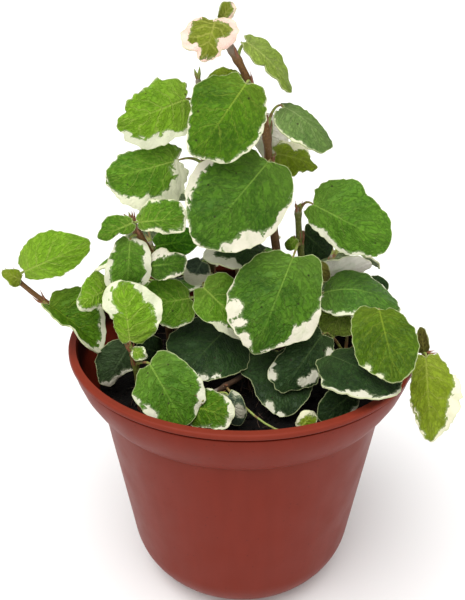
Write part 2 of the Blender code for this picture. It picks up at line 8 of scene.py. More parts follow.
import math
import random
from dataclasses import dataclass, field

import bmesh
import bpy
import numpy as np
from mathutils import Matrix, Quaternion, Vector, noise


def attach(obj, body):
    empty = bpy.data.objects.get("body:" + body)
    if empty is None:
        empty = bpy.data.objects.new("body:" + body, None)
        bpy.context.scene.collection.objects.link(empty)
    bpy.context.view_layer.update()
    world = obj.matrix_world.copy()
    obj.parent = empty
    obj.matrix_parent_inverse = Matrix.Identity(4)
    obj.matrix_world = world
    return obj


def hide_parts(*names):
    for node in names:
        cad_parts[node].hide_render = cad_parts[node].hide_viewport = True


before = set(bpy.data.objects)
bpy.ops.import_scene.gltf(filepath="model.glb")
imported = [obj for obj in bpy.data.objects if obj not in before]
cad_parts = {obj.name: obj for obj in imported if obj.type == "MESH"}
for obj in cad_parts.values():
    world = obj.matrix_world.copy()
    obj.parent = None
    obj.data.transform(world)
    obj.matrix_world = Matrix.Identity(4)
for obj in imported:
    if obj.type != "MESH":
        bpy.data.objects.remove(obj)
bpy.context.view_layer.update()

# Pot: one injection-moulded shell of terracotta-coloured polypropylene. It has a rolled lip with a
# groove under it, a flared collar, a small step above the tapered wall, and drain holes in its foot.
MM = 0.001
POT_HEIGHT = 85.0 * MM
RIM_RADIUS = 52.5 * MM
LIP_WIDTH = 2.2 * MM
LIP_HEIGHT = 1.6 * MM
LIP_ROUND = 0.7 * MM
GROOVE_DEPTH = 0.6 * MM
GROOVE_HEIGHT = 0.8 * MM
COLLAR_TOP_RADIUS = 51.8 * MM
COLLAR_BULGE = ((51.2 * MM, 79.5 * MM), (49.8 * MM, 75.5 * MM), (47.9 * MM, 72.0 * MM))
COLLAR_FOOT_RADIUS = 46.4 * MM
COLLAR_FOOT_HEIGHT = 69.0 * MM
WALL_TOP_RADIUS = 44.3 * MM
WALL_FOOT_RADIUS = 34.6 * MM
STEP_ROUND = 0.6 * MM
FOOT_ROUND = 18.0 * MM
FOOT_ROUND_START = -8       # degrees below level
FOOT_HOLLOW_RADIUS = 16.0 * MM
FOOT_HOLLOW_DEPTH = 1.0 * MM
FOOT_PAD_RADIUS = 6.0 * MM
FOOT_SLOPE = 1.0 * MM
WALL = 1.4 * MM
FLOOR_TURN_END = -80        # degrees below level
STEP_LOW = COLLAR_FOOT_HEIGHT - WALL
STEP_HIGH = COLLAR_FOOT_HEIGHT + 1.2 * MM
MOULD_ROUND = 0.35 * MM
MOULD_ROUND_STEPS = 3
SHARP_TURN = math.radians(25)
POT_STEPS = 144
DRAIN_HOLES = 6
DRAIN_RING_RADIUS = 11.0 * MM
DRAIN_HOLE_RADIUS = 2.6 * MM
DRAIN_CUT = 7.0 * MM
DRAIN_SIDES = 32
TERRACOTTA = "#722516"
TERRACOTTA_PALE = "#762718"
TERRACOTTA_SPECK = "#45180f"
TERRACOTTA_LIP_HIGHLIGHT = "#8c4535"
# The inner wall's darkening: partly a peat stain, partly painted shade
PEAT_STAIN_AND_SHADE = "#24130e"
SMOOTH_ANGLE = math.radians(40)
SAME_POINT = 0.005 * MM
EASE = {"interpolation_type": "SMOOTHSTEP"}
COLOURS = {"data_type": "RGBA"}
TIMES = {"operation": "MULTIPLY"}


def mix(low, high, share):
    return low + (high - low) * share


def linear(colour):
    """An sRGB hex colour as the linear colour that Blender's shaders take."""
    parts = [int(colour[i:i + 2], 16) / 255 for i in (1, 3, 5)]
    return (*[p / 12.92 if p <= 0.04045 else ((p + 0.055) / 1.055) ** 2.4 for p in parts], 1.0)


def node(tree, kind, setup, *values, out=None, **named):
    """Adds a shader node with its settings, feeds its inputs in turn or by name, gives an output."""
    made = tree.nodes.new("ShaderNode" + kind)
    for name, value in setup.items():
        setattr(made, name, value)
    shown = [socket for socket in made.inputs if socket.enabled]
    by_name = {socket.name: socket for socket in reversed(shown)}
    pairs = list(zip(shown, values))
    pairs += [(by_name[name.replace("_", " ")], value) for name, value in named.items()]
    for socket, value in pairs:
        if isinstance(value, bpy.types.NodeSocket):
            tree.links.new(value, socket)
        else:
            socket.default_value = value
    return made.outputs[out] if out else next(s for s in made.outputs if s.enabled)


def surface(name, **constants):
    """A new material, its node tree, its shader with these constants, and the place it colours."""
    material = bpy.data.materials.new(name)
    material.use_nodes = True
    tree = material.node_tree
    shader = tree.nodes["Principled BSDF"]
    for socket, value in constants.items():
        shader.inputs[socket.replace("_", " ")].default_value = value
    return material, tree, shader, node(tree, "TexCoord", {}, out="Object")


def feed(shader, **sources):
    """Links the outputs that make up a surface to the sockets of its shader."""
    for socket, source in sources.items():
        shader.id_data.links.new(source, shader.inputs[socket.replace("_", " ")])


def arc(middle, radius, start, end, steps):
    """Points of a round stretch of a section, from one angle to another in degrees."""
    angles = [math.radians(mix(start, end, i / steps)) for i in range(steps + 1)]
    return [(middle[0] + radius * math.cos(a), middle[1] + radius * math.sin(a)) for a in angles]


def rounded(section):
    """The section with the small radius that a mould leaves on each of its sharp corners."""
    points = [Vector(point) for point in section]
    soft = [points[0]]
    for before, corner, after in zip(points, points[1:], points[2:]):
        inward, outward = corner - before, after - corner
        if inward.angle(outward) < SHARP_TURN or corner.x < SAME_POINT:
            soft.append(corner)
            continue
        start = corner - inward.normalized() * min(MOULD_ROUND, inward.length * 0.45)
        end = corner + outward.normalized() * min(MOULD_ROUND, outward.length * 0.45)
        for step in range(MOULD_ROUND_STEPS + 1):
            t = step / MOULD_ROUND_STEPS
            soft.append(start.lerp(corner, t).lerp(corner.lerp(end, t), t))
    return soft + [points[-1]]


def mesh_of(name, bm):
    """The mesh of a finished bmesh."""
    mesh = bpy.data.meshes.new(name)
    bm.to_mesh(mesh)
    bm.free()
    return mesh


def placed(name, data):
    """A new object in the scene."""
    piece = bpy.data.objects.new(name, data)
    bpy.context.scene.collection.objects.link(piece)
    return piece


def shaped(piece):
    """The mesh that an object's modifiers, or its curve, make."""
    bpy.context.view_layer.update()
    return bpy.data.meshes.new_from_object(piece.evaluated_get(bpy.context.evaluated_depsgraph_get()))


def finished(name, mesh, materials):
    """The object of a finished mesh, smooth but for its sharp edges, that rides on the frame."""
    for material in materials:
        mesh.materials.append(material)
    mesh.shade_smooth()
    mesh.set_sharp_from_angle(angle=SMOOTH_ANGLE)
    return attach(placed(name, mesh), "root")


def turned(section, steps):
    """A bmesh of a section spun round the Z axis."""
    bm = bmesh.new()
    ring = [bm.verts.new((point[0], 0, point[1])) for point in section]
    edges = [bm.edges.new(pair) for pair in zip(ring, ring[1:])]
    bmesh.ops.spin(
        bm, geom=ring + edges, cent=(0, 0, 0), axis=(0, 0, 1), angle=math.tau, steps=steps,
        use_merge=True,
    )
    bmesh.ops.remove_doubles(bm, verts=bm.verts, dist=SAME_POINT)
    bmesh.ops.recalc_face_normals(bm, faces=bm.faces)
    return bm


def wall_line(height):
    """The outer radius of the tapered wall at a height."""
    return mix(WALL_FOOT_RADIUS, WALL_TOP_RADIUS, height / COLLAR_FOOT_HEIGHT)


lip_foot = POT_HEIGHT - LIP_HEIGHT
groove_foot = lip_foot - GROOVE_HEIGHT
foot_reach = FOOT_ROUND / math.cos(math.radians(FOOT_ROUND_START))
foot_middle = (wall_line(FOOT_ROUND) - foot_reach, FOOT_ROUND)
pot_section = [(RIM_RADIUS - LIP_WIDTH, POT_HEIGHT)]
pot_section += arc((RIM_RADIUS - LIP_ROUND, POT_HEIGHT - LIP_ROUND), LIP_ROUND, 90, 0, 6)
pot_section += [
    (RIM_RADIUS, lip_foot),
    (COLLAR_TOP_RADIUS - GROOVE_DEPTH, lip_foot),
    (COLLAR_TOP_RADIUS - GROOVE_DEPTH, groove_foot),
    (COLLAR_TOP_RADIUS, groove_foot),
    *COLLAR_BULGE,
    (COLLAR_FOOT_RADIUS, COLLAR_FOOT_HEIGHT + STEP_ROUND),
    (COLLAR_FOOT_RADIUS - STEP_ROUND, COLLAR_FOOT_HEIGHT),
    (WALL_TOP_RADIUS, COLLAR_FOOT_HEIGHT - STEP_ROUND),
]
pot_section += arc(foot_middle, FOOT_ROUND, FOOT_ROUND_START, -90, 16)
pot_section += [
    (FOOT_HOLLOW_RADIUS, 0.0),
    (FOOT_HOLLOW_RADIUS - FOOT_SLOPE, FOOT_HOLLOW_DEPTH),
    (FOOT_PAD_RADIUS + FOOT_SLOPE, FOOT_HOLLOW_DEPTH),
    (FOOT_PAD_RADIUS, 0.0),
    (0.0, 0.0),
    (0.0, FOOT_HOLLOW_DEPTH + WALL),
]
pot_section += reversed(arc(foot_middle, FOOT_ROUND - WALL, FOOT_ROUND_START, FLOOR_TURN_END, 12))
pot_section += [
    (WALL_TOP_RADIUS - WALL, STEP_LOW),
    (COLLAR_FOOT_RADIUS - WALL, STEP_HIGH),
    *[(radius - WALL, height) for radius, height in reversed(COLLAR_BULGE)],
    (RIM_RADIUS - LIP_WIDTH - STEP_ROUND, groove_foot),
    (RIM_RADIUS - LIP_WIDTH, POT_HEIGHT),
]

# Polypropylene, moulded against a fine-spark mould face: a satin skin whose broad highlight is soft,
# with faint upright streaks from the flow of the melt and a few darker pigment specks. The inner wall
# below the lip is darkened, partly by a wet peat stain and partly as painted shade, and the lip is
# painted paler, a painted highlight where the light from above catches it. The spark grain is drawn
# coarser than the real one, so that it shows.
polypropylene, tree, shader, place = surface("moulded_polypropylene", IOR=1.49, Specular_IOR_Level=0.09)
upright = node(tree, "Mapping", {}, place, Scale=(1.0, 1.0, 0.06))
flow = node(tree, "TexNoise", {}, upright, Scale=1 / (3.0 * MM), Detail=3.0)
flow = node(tree, "MapRange", EASE, flow, 0.3, 0.75, 0.0, 1.0)
plastic = node(tree, "Mix", COLOURS, flow, linear(TERRACOTTA), linear(TERRACOTTA_PALE))
bits = node(tree, "TexVoronoi", {}, place, Scale=1 / (2.6 * MM))
bits = node(tree, "MapRange", EASE, bits, 0.06, 0.11, 0.55, 0.0)
plastic = node(tree, "Mix", COLOURS, bits, plastic, linear(TERRACOTTA_SPECK))
height = node(tree, "SeparateXYZ", {}, place, out="Z")
# Painted highlight: the lip's top is painted paler where the light from above catches it
lip_highlight = node(tree, "MapRange", EASE, height, POT_HEIGHT - 2.2 * MM, POT_HEIGHT - 0.5 * MM, 0.0, 0.2)
plastic = node(tree, "Mix", COLOURS, lip_highlight, plastic, linear(TERRACOTTA_LIP_HIGHLIGHT))
spark = node(tree, "TexNoise", {}, place, Scale=1 / (0.35 * MM), Detail=2.0)
wear = node(tree, "TexNoise", {}, place, Scale=1 / (9.0 * MM), Detail=4.0)
polish = node(tree, "MapRange", {}, wear, 0.3, 0.7, 0.36, 0.47)

# The inner wall darkens where the surface faces the pot's axis, below the lip: partly a peat stain,
# partly painted shade in the pot's recess
normal = node(tree, "TexCoord", {}, out="Normal")
inward = node(tree, "VectorMath", {"operation": "DOT_PRODUCT"}, normal, place, out="Value")
inside = node(tree, "MapRange", EASE, inward, -0.2 * RIM_RADIUS, -0.6 * RIM_RADIUS, 0.0, 0.9)
under = node(tree, "MapRange", EASE, height, POT_HEIGHT - 2.4 * MM, POT_HEIGHT - 0.6 * MM, 1.0, 0.0)
stain_and_shade = node(tree, "Math", TIMES, inside, under)
plastic = node(tree, "Mix", COLOURS, stain_and_shade, plastic, linear(PEAT_STAIN_AND_SHADE))
relief = node(tree, "Bump", {}, Strength=0.25, Distance=0.04 * MM, Height=spark)
feed(shader, Base_Color=plastic, Roughness=polish, Normal=relief)

# The pot's shell, with its drain holes cut through the foot
pot_mesh = mesh_of("pot_shell", turned(rounded(pot_section), POT_STEPS))
pot = finished("pot_shell", pot_mesh, [polypropylene])
drills = []
for index in range(DRAIN_HOLES):
    angle = math.tau * index / DRAIN_HOLES
    spot = Vector((math.cos(angle), math.sin(angle), 0)) * DRAIN_RING_RADIUS
    bm = bmesh.new()
    bmesh.ops.create_cone(
        bm, cap_ends=True, segments=DRAIN_SIDES, radius1=DRAIN_HOLE_RADIUS, radius2=DRAIN_HOLE_RADIUS,
        depth=DRAIN_CUT, matrix=Matrix.Translation(spot),
    )
    drill = placed("drain_drill", mesh_of("drain_drill", bm))
    cut = pot.modifiers.new("Drain", "BOOLEAN")
    cut.operation = "DIFFERENCE"
    cut.solver = "EXACT"
    cut.object = drill
    drills.append(drill)
drained = shaped(pot)
pot.modifiers.clear()
pot.data = drained
drained.set_sharp_from_angle(angle=SMOOTH_ANGLE)
for drill in drills:
    bpy.data.objects.remove(drill, do_unlink=True)
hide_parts("pot")

# Peat: a plug of dark, damp, fibrous peat up to 15 mm under the lip, firmed by hand, with a lumpy
# top that is darkest in its hollows. The loose bits and root hairs on it are pieces of their own.
SOIL_GAP = 0.45 * MM
SOIL_TOP = 70.0 * MM
SOIL_LUMP = 1.0 * MM
SOIL_LUMP_SIZE = 9.0 * MM
SOIL_GRAINS = ((0.55 * MM, 3.2 * MM), (0.3 * MM, 1.3 * MM))
SOIL_RINGS = 56
SOIL_STEPS = 160
SOIL_EDGE = 2.0 * MM
PEAT_WET = "#0a0807"
PEAT_DRY = "#1f1612"
TOP_MARGIN = 0.1 * MM

soil_side = WALL + SOIL_GAP
step_share = (SOIL_TOP - STEP_LOW) / (STEP_HIGH - STEP_LOW)
soil_radius = mix(WALL_TOP_RADIUS, COLLAR_FOOT_RADIUS, step_share) - soil_side
soil_section = [(soil_radius * i / SOIL_RINGS, SOIL_TOP) for i in range(SOIL_RINGS + 1)]
soil_section += [(WALL_TOP_RADIUS - soil_side, STEP_LOW)]
soil_section += arc(foot_middle, FOOT_ROUND - soil_side, FOOT_ROUND_START, FLOOR_TURN_END, 8)
soil_section += [(0.0, FOOT_HOLLOW_DEPTH + soil_side)]


def peat_height(x, y):
    """How far the peat's top stands above or below its level there: lumps, and finer grains on them."""
    edge = min(1.0, max(0.0, (soil_radius - math.hypot(x, y)) / SOIL_EDGE))
    lump = SOIL_LUMP * noise.noise(Vector((x, y, SOIL_TOP)) / SOIL_LUMP_SIZE)
    for height, size in SOIL_GRAINS:
        lump += height * noise.noise(Vector((x, y, 0)) / size)
    return lump * edge


bm = turned(soil_section, SOIL_STEPS)
for vertex in bm.verts:
    if vertex.co.z > SOIL_TOP - TOP_MARGIN:
        vertex.co.z += peat_height(vertex.co.x, vertex.co.y)
soil_mesh = mesh_of("peat_plug", bm)

# Damp peat drinks the light: nearly black, rough, with browner dry fibre here and there.
peat, tree, shader, place = surface("damp_peat", IOR=1.4, Specular_IOR_Level=0.15)
fleck = node(tree, "TexNoise", {}, place, Scale=1 / (1.6 * MM), Detail=5.0, Roughness=0.7)
dry = node(tree, "MapRange", EASE, fleck, 0.5, 0.72, 0.0, 1.0)
brown = node(tree, "Mix", COLOURS, dry, linear(PEAT_WET), linear(PEAT_DRY))
grain = node(tree, "TexVoronoi", {}, place, Scale=1 / (0.8 * MM))
relief = node(tree, "Bump", {}, Strength=0.8, Distance=0.3 * MM, Height=grain)
wetness = node(tree, "MapRange", {}, fleck, 0.3, 0.6, 0.62, 0.95)
feed(shader, Base_Color=brown, Roughness=wetness, Normal=relief)
soil = finished("peat_plug", soil_mesh, [peat])
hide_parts("soil")

# Loose bits on the peat: crumbs of bark and peat, among them a few of pale perlite, the expanded
# volcanic glass that keeps potting soil open. They lie where they fell, sunk a little into the top.
CRUMBS = 620
CRUMB_SIZE = (0.35 * MM, 1.15 * MM)
CRUMB_BREADTH = (0.6, 1.0)
CRUMB_DEPTH = (0.4, 0.8)
CRUMB_SPREAD = 0.97
CRUMB_RISE = 0.2
PERLITE_SHARE = 0.05
PERLITE_LARGEST = 0.7 * MM


def chance_place(rng, share):
    """A chance place on the peat's top, within a share of its radius."""
    reach = soil_radius * math.sqrt(rng.random()) * share
    angle = rng.uniform(0, math.tau)
    return reach * math.cos(angle), reach * math.sin(angle)


def mottled(name, patch, dark, pale, **constants):
    """A material that drifts between two colours, in patches of a size."""
    material, tree, shader, place = surface(name, **constants)
    drift = node(tree, "TexNoise", {}, place, Scale=1 / patch)
    feed(shader, Base_Color=node(tree, "Mix", COLOURS, drift, linear(dark), linear(pale)))
    return material


# Perlite is dull as chalk, and stained grey to beige by the damp peat.
perlite = mottled("perlite", 0.5 * MM, "#6e675e", "#a49c8e", Roughness=0.9, IOR=1.45)

rng = random.Random(11)
bm = bmesh.new()
for index in range(CRUMBS):
    x, y = chance_place(rng, CRUMB_SPREAD)
    size = mix(*CRUMB_SIZE, rng.random() ** 2)
    height = SOIL_TOP + peat_height(x, y) + size * CRUMB_RISE
    turn = Quaternion([rng.gauss(0, 1) for axis in range(3)], rng.uniform(0, math.pi))
    squash = Matrix.Diagonal((1.0, rng.uniform(*CRUMB_BREADTH), rng.uniform(*CRUMB_DEPTH), 1.0))
    spot = Matrix.Translation((x, y, height)) @ turn.normalized().to_matrix().to_4x4() @ squash
    made = bmesh.ops.create_icosphere(bm, subdivisions=1, radius=size, matrix=spot)
    pale = rng.random() < PERLITE_SHARE and size < PERLITE_LARGEST
    for face in {face for vertex in made["verts"] for face in vertex.link_faces}:
        face.material_index = int(pale)
crumbs = finished("peat_crumbs", mesh_of("peat_crumbs", bm), [peat, perlite])

# Dry root hairs on the peat: straw-coloured ends of old fine roots, each a thin bent thread that
# lies loosely over the lumps.
FIBRES = 90
FIBRE_LENGTH = (3.0 * MM, 9.0 * MM)
FIBRE_RADIUS = 0.09 * MM
FIBRE_TAPER = 0.6
FIBRE_KNOTS = 5
FIBRE_SPREAD = 0.9
FIBRE_BEND = 1.4
FIBRE_ARCH = 1.2 * MM
FIBRE_RISE = 0.15 * MM


def rod(splines, sides=8):
    """A mesh of round rods, one along each list of (place, radius) points."""
    curve = bpy.data.curves.new("rod", "CURVE")
    curve.dimensions = "3D"
    curve.bevel_depth = 1.0
    curve.bevel_resolution = sides // 2 - 2
    curve.use_fill_caps = True
    for points in splines:
        spline = curve.splines.new("POLY")
        spline.points.add(len(points) - 1)
        for knot, (place, radius) in zip(spline.points, points):
            knot.co = (*place, 1.0)
            knot.radius = radius
    holder = placed("rod", curve)
    mesh = shaped(holder)
    bpy.data.objects.remove(holder, do_unlink=True)
    bm = bmesh.new()
    bm.from_mesh(mesh)
    bmesh.ops.remove_doubles(bm, verts=bm.verts, dist=SAME_POINT)
    bm.to_mesh(mesh)
    bm.free()
    return mesh


fibres = []
for index in range(FIBRES):
    x, y = chance_place(rng, FIBRE_SPREAD)
    length = rng.uniform(*FIBRE_LENGTH)
    heading, bend = rng.uniform(0, math.tau), rng.uniform(-FIBRE_BEND, FIBRE_BEND)
    points = []
    for knot in range(FIBRE_KNOTS):
        share = knot / (FIBRE_KNOTS - 1)
        height = SOIL_TOP + peat_height(x, y) + FIBRE_ARCH * share * (1 - share) + FIBRE_RISE
        points.append((Vector((x, y, height)), FIBRE_RADIUS * (1 - FIBRE_TAPER * share)))
        x += length / FIBRE_KNOTS * math.cos(heading + bend * share)
        y += length / FIBRE_KNOTS * math.sin(heading + bend * share)
        if math.hypot(x, y) > soil_radius:
            break
    if len(points) > 2:
        fibres.append(points)

# Dry root is dull, and changes from dark brown to straw along its length.
root_hair = mottled("dry_root_hair", 2.0 * MM, "#2e221a", "#6b5340", Roughness=0.8, IOR=1.45)
finished("peat_fibres", rod(fibres, 4), [root_hair])

# The plant's plan: where each stem grows and where each leaf hangs. A place is given by the pixel
# where the photograph shows it, across and down, and a depth, or in mm from the middle of the pot's
# foot.
PHOTO_MIDDLE = (232.5, 300.0)
PHOTO_FOCAL = 718.4
EYE = Vector((0.0, -193.5, 192.0)) * MM
EYE_DROP = math.radians(26.46)
EYE_TURN = math.radians(-0.89)
EYE_AIM = Vector((
    math.sin(EYE_TURN) * math.cos(EYE_DROP),
    math.cos(EYE_TURN) * math.cos(EYE_DROP),
    -math.sin(EYE_DROP),
))
EYE_RIGHT = Vector((math.cos(EYE_TURN), -math.sin(EYE_TURN), 0.0))
EYE_UP = EYE_RIGHT.cross(EYE_AIM)


def seen(across, down, depth):
    """The place at a pixel of the photograph, depth mm behind the pot's axis or, below 0, before it."""
    ray = (
        EYE_AIM
        + EYE_RIGHT * ((across - PHOTO_MIDDLE[0]) / PHOTO_FOCAL)
        + EYE_UP * ((PHOTO_MIDDLE[1] - down) / PHOTO_FOCAL)
    )
    return EYE + ray * ((depth * MM - EYE.y) / ray.y)


def at(x, y, z):
    """A place in mm from the middle of the pot's foot."""
    return Vector((x, y, z)) * MM


def where(place):
    """A place given as such, or as the pixel and the depth where it is seen."""
    return seen(*place) if isinstance(place, tuple) else place


def pixel(place):
    """Where the photograph shows a place, and how many mm a pixel is there."""
    ray = place - EYE
    depth = ray.dot(EYE_AIM)
    across = PHOTO_MIDDLE[0] + PHOTO_FOCAL * ray.dot(EYE_RIGHT) / depth
    down = PHOTO_MIDDLE[1] - PHOTO_FOCAL * ray.dot(EYE_UP) / depth
    return across, down, depth / PHOTO_FOCAL / MM


@dataclass
class Leaf:
    """One leaf, whose blade runs from base to tip and faces the eye, or facing where that is given.

    Base and tip are places, or pixels across and down with a depth. Cream and bulge hold eight or
    sixteen values, from the top clockwise round the blade as the photograph shows it. A leaf
    without cream values gets chance ones.
    """

    base: Vector
    tip: Vector
    width: float            # mm across the blade
    right: float = 0.5      # share of the width right of the midrib, seen with the tip up
    widest: float = 0.42    # where along the midrib the blade is widest
    roll: float = 0.0       # degrees that the face turns towards the blade's own right
    fold: float = -8.0      # degrees that each half rises from the midrib, or drops where below 0
    arch: float = 1.2       # mm that the midrib bows up between base and tip
    facing: Vector = None   # where the face looks, if not to the eye
    back: float = 5.0       # mm that the stalk leaves the stem below the place nearest to the base
    swing: float = 0.5      # 1: the stalk comes in along the midrib, 0: from behind the blade
    small: bool = False     # a young leaf
    tone: str = "green"     # which of the greens below
    cream: tuple = None     # mm of cream along the margin, below 0 for none
    blots: tuple = ()       # round cream blots: pixel across, pixel down, radius in mm
    bulge: tuple = (0,) * 8  # mm that the margin stands out there
    ragged: float = 0.12    # mm that the teeth of the margin stand out

    def __post_init__(self):
        self.base = where(self.base)
        self.tip = where(self.tip)


@dataclass
class Stem:
    """One leafy stem, with the places that it grows through above the soil, and its leaves."""

    route: list
    radius: float           # mm at the soil
    tip_radius: float       # mm at its tip
    bark: str = "brown"
    bud: float = 3.0        # mm that the bud at its tip is long
    leaves: list = field(default_factory=list)

    def __post_init__(self):
        self.route = [where(place) for place in self.route]

    def leaf(self, **form):
        """Plans the stem's next leaf."""
        self.leaves.append(Leaf(**form))


NONE = (-1,) * 8
STEMS = {}

# The tallest stem, right of the middle: brown wood that leans left at its top, where the youngest
# leaves are small and their cream is still pink
stem = STEMS["stem_main"] = Stem(
    route=[
        (277, 262, 0), (275, 240, 0), (271, 200, 0), (268, 150, 0), (265, 125, 0), (255, 96, 0),
        (241, 66, 0), (228, 44, 0),
    ],
    radius=1.5, tip_radius=0.95, bud=0,
)
stem.leaf(
    base=(215, 21, -2), tip=(203, 63, -7), width=15, back=0, swing=0.7, tone="tip", ragged=0.4,
    cream=(0, 0, 1, 1.5, 2.5, 2, 1.2, 0.8, 0.5, 0.3, 1, 1.6, 1.8, 1.2, 0.6, 0.3),
    bulge=(-0.5, 0.5, 1.5, 1, -0.5, -2.7, -3, -1.5, -1, 0, -1.5, 0, 0, -0.8, -1, -0.5),
)
stem.leaf(
    base=(222, 18, 1), tip=(233, 2, 2), width=4, fold=14, arch=0.4, back=2, small=True, tone="tip",
    ragged=0.2, cream=(-1, 0.4, 1, 1.4, 1, -1, -1, -1),
)
stem.leaf(
    base=(247, 43, 1), tip=(291, 92, 1), width=12, right=0.3, roll=-60, fold=-10, back=2, tone="faded",
    ragged=0.2, cream=NONE, bulge=(0.8, 0, 0, 0, 0, 0, 0, 0, 0, -0.8, -1.2, -1, 0, 0, 0, 1),
)
stem.leaf(
    base=(247, 82, -5), tip=(194, 159, -12), width=20.5, right=0.46, back=3, tone="spring", ragged=0.2,
    cream=(-1, -0.6, 0.4, 0.5, 0.5, 0.4, 0.2, -1),
    bulge=(-1.6, -1, 0, -0.7, -0.8, -0.8, 0, 0, 0, -1, 0, -1.5, -1.4, 0, 0.9, -0.5),
)
stem.leaf(
    base=(269, 161, -5), tip=(197, 246, -15), width=27, right=0.52, widest=0.45, back=3, tone="green",
    ragged=0.18, cream=(0, -1, -1, -1, 0.2, 1.6, 1.5, 0.6, 0.4, 0.3, 0.3, 0.4, 1, 2.5, 2.3, 1.2),
    bulge=(-2.8, -2.2, 0, 0, 1, 0, 0, 0.3, 0, -0.8, 0, -0.9, -1, -0.8, 0, -0.5),
    blots=((250, 243, 3.4), (239, 247, 2.0), (226, 249, 1.4)),
)
stem.leaf(
    base=(281, 105, 1), tip=(332, 148, -3), width=13, right=0.62, roll=-48, back=5, tone="pale",
    ragged=0.28, cream=(-1, -1, -1, -0.6, 0.4, 0.8, 0.4, -1),
    bulge=(-1.3, -0.8, -1, -1, -0.8, -0.5, 0, 0, 0, 0, -0.5, -0.7, -0.5, -1.5, -1, -0.8),
)
stem.leaf(
    base=(276, 154, 5), tip=(318, 168, 6), width=10.5, roll=-30, back=3, tone="yellow", ragged=0.45,
    cream=(3, 2.3, 1.6, 0.7, -1, -1, -1, -1, -1, -1, -1, -1, -1, -1, 0.3, 0.8),
    bulge=(0, 0, 0, -0.6, -1.6, -0.4, -1.4, -1.3, -0.5, 0, 0, 0, 0, 0, 0, 0),
)
stem.leaf(
    base=(263, 120, 9), tip=(280, 163, 10), width=9.5, fold=-12, back=3, tone="blanched",
    cream=(2, 5, 6, 6, 6, 6, 5, 3),
)
stem.leaf(
    base=(243, 86, 4), tip=(205, 80, 5), width=11, roll=20, back=3, tone="yellow", cream=NONE,
    bulge=(-1.3, -1.5, -1.5, -1, 0, 0, 0, 0, 0, 0, 0, 0, 0, -0.5, -0.8, -1),
)
stem.leaf(
    base=(264, 251, 0), tip=(203, 257, -4), width=14, roll=52, back=3, tone="dark",
    cream=(-1, -1, -1, -1, 2.0, 3.4, 3.2, 0.5),
)
stem.leaf(
    base=at(-1, 8, 153), tip=at(-9, 23, 144), width=18, facing=Vector((-0.2, 0.6, 0.75)), tone="green",
)
stem.leaf(
    base=at(7, 6, 131), tip=at(-1, 23, 122), width=19, facing=Vector((0.1, 0.6, 0.75)), tone="mature",
)

# The tall stem behind it, with green bark. Only its bud and its leaves are seen. Its last two leaves,
# like those of the tallest stem, are at the back, out of the photograph's sight.
stem = STEMS["stem_hidden"] = Stem(
    route=[(216, 300, 8), (212, 270, 8), (208, 220, 7), (206, 170, 6), (202, 120, 5), (198, 78, 4)],
    radius=1.3, tip_radius=0.8, bark="green",
)
stem.leaf(
    base=(186, 99, 1), tip=(118, 126, -3), width=16.5, right=0.47, back=4, tone="lime", ragged=0.55,
    cream=(0, -0.5, -0.5, -1, -1, 0.3, 1, 2.8, 2.9, 2.3, 1.6, -0.3, -0.5, -0.5, -0.5, -0.3),
    bulge=(0, 0, 0, 0, 0, -0.5, 0, 0, 0.5, 1.2, 0.6, 0.2, -2, -0.9, -1.2, -1.2),
)
stem.leaf(
    base=(182, 159, 1), tip=(105, 180, -3), width=16.5, right=0.37, back=4, swing=0.9, tone="fresh",
    ragged=0.4,
    cream=(-0.5, -0.5, -0.3, 0.5, 2.5, 3.4, 4, 5, 5.3, 2.8, 1.5, 0.3, -0.4, -0.5, -0.5, -0.5),
    bulge=(-0.6, -0.7, 0, -1.2, -1, -0.5, 0.5, 2, 3, 1, 0.5, 0, 0, 0, 0, -0.3),
)
stem.leaf(
    base=(204, 288, -8), tip=(256, 338, -13), width=14, right=0.4, back=4, swing=0.2, tone="fresh",
    cream=(-1, -1, -1, -1, -1, -1, 0, 2, 2, 2.2, 0.4, -1, -1, -1, -1, -1),
    bulge=(0.9, 0, 0, 0, 0, 0, 0, 0, 0, 0.8, 0.4, 1.7, 1.9, 0.3, 0.3, 0),
)
stem.leaf(
    base=(202, 262, 1), tip=(189, 284, -3), width=8, back=3, small=True, tone="dusk",
    cream=(-1, 0.3, 0.8, 2.5, 3, 3, 1.6, -1),
)
stem.leaf(
    base=at(-15, 12, 147), tip=at(-29, 23, 140), width=16, facing=Vector((-0.3, 0.6, 0.7)),
    tone="fresh",
)
stem.leaf(
    base=at(-12, 14, 126), tip=at(-22, 29, 117), width=17, facing=Vector((-0.3, 0.6, 0.7)),
    tone="mature",
)

# The short stem on the right, with olive bark and a small bud. It carries the large leaf in the
# middle of the plant.
stem = STEMS["stem_second"] = Stem(
    route=[(304, 285, 3), (302, 262, 3), (299, 235, 3), (298, 207, 3)], radius=1.4, tip_radius=0.9,
    bark="olive", bud=1.2,
)
stem.leaf(
    base=(311, 203, -1), tip=(388, 243, -6), width=19.5, right=0.46, back=2, swing=0.8, tone="bright",
    ragged=0.22, cream=(-1, -1, -1, -1, -1, -1, -0.3, 0.8, 1, 1, 1.6, 1.4, -0.3, -1, -1, -1),
    bulge=(0, 0.7, -0.9, -0.9, 0.2, 0.6, 1.3, 0, -0.5, -1.3, -1.5, -2, -2.2, -0.6, -1.2, -0.2),
)
stem.leaf(base=(304, 232, 6), tip=(329, 256, 6), width=11, back=2, tone="dark", cream=NONE)
stem.leaf(
    base=(293, 257, -10), tip=(253, 357, -23), width=25.5, widest=0.46, back=2, tone="green",
    ragged=0.25, cream=(-1, -1, -1, -0.6, 0.4, 2.4, 4.4, 2, 0.4, 0.2, 0.6, 0.6, 0.4, 0.6, -0.2, -1),
    bulge=(-2, 0, 0.6, -0.4, 0, 0.3, 0.3, -1.3, -2.5, -0.8, -1.2, 0.5, 0, 0, 0.5, -0.8),
    blots=((233, 309, 2.8), (239, 322, 1.6), (242, 343, 2.2)),
)
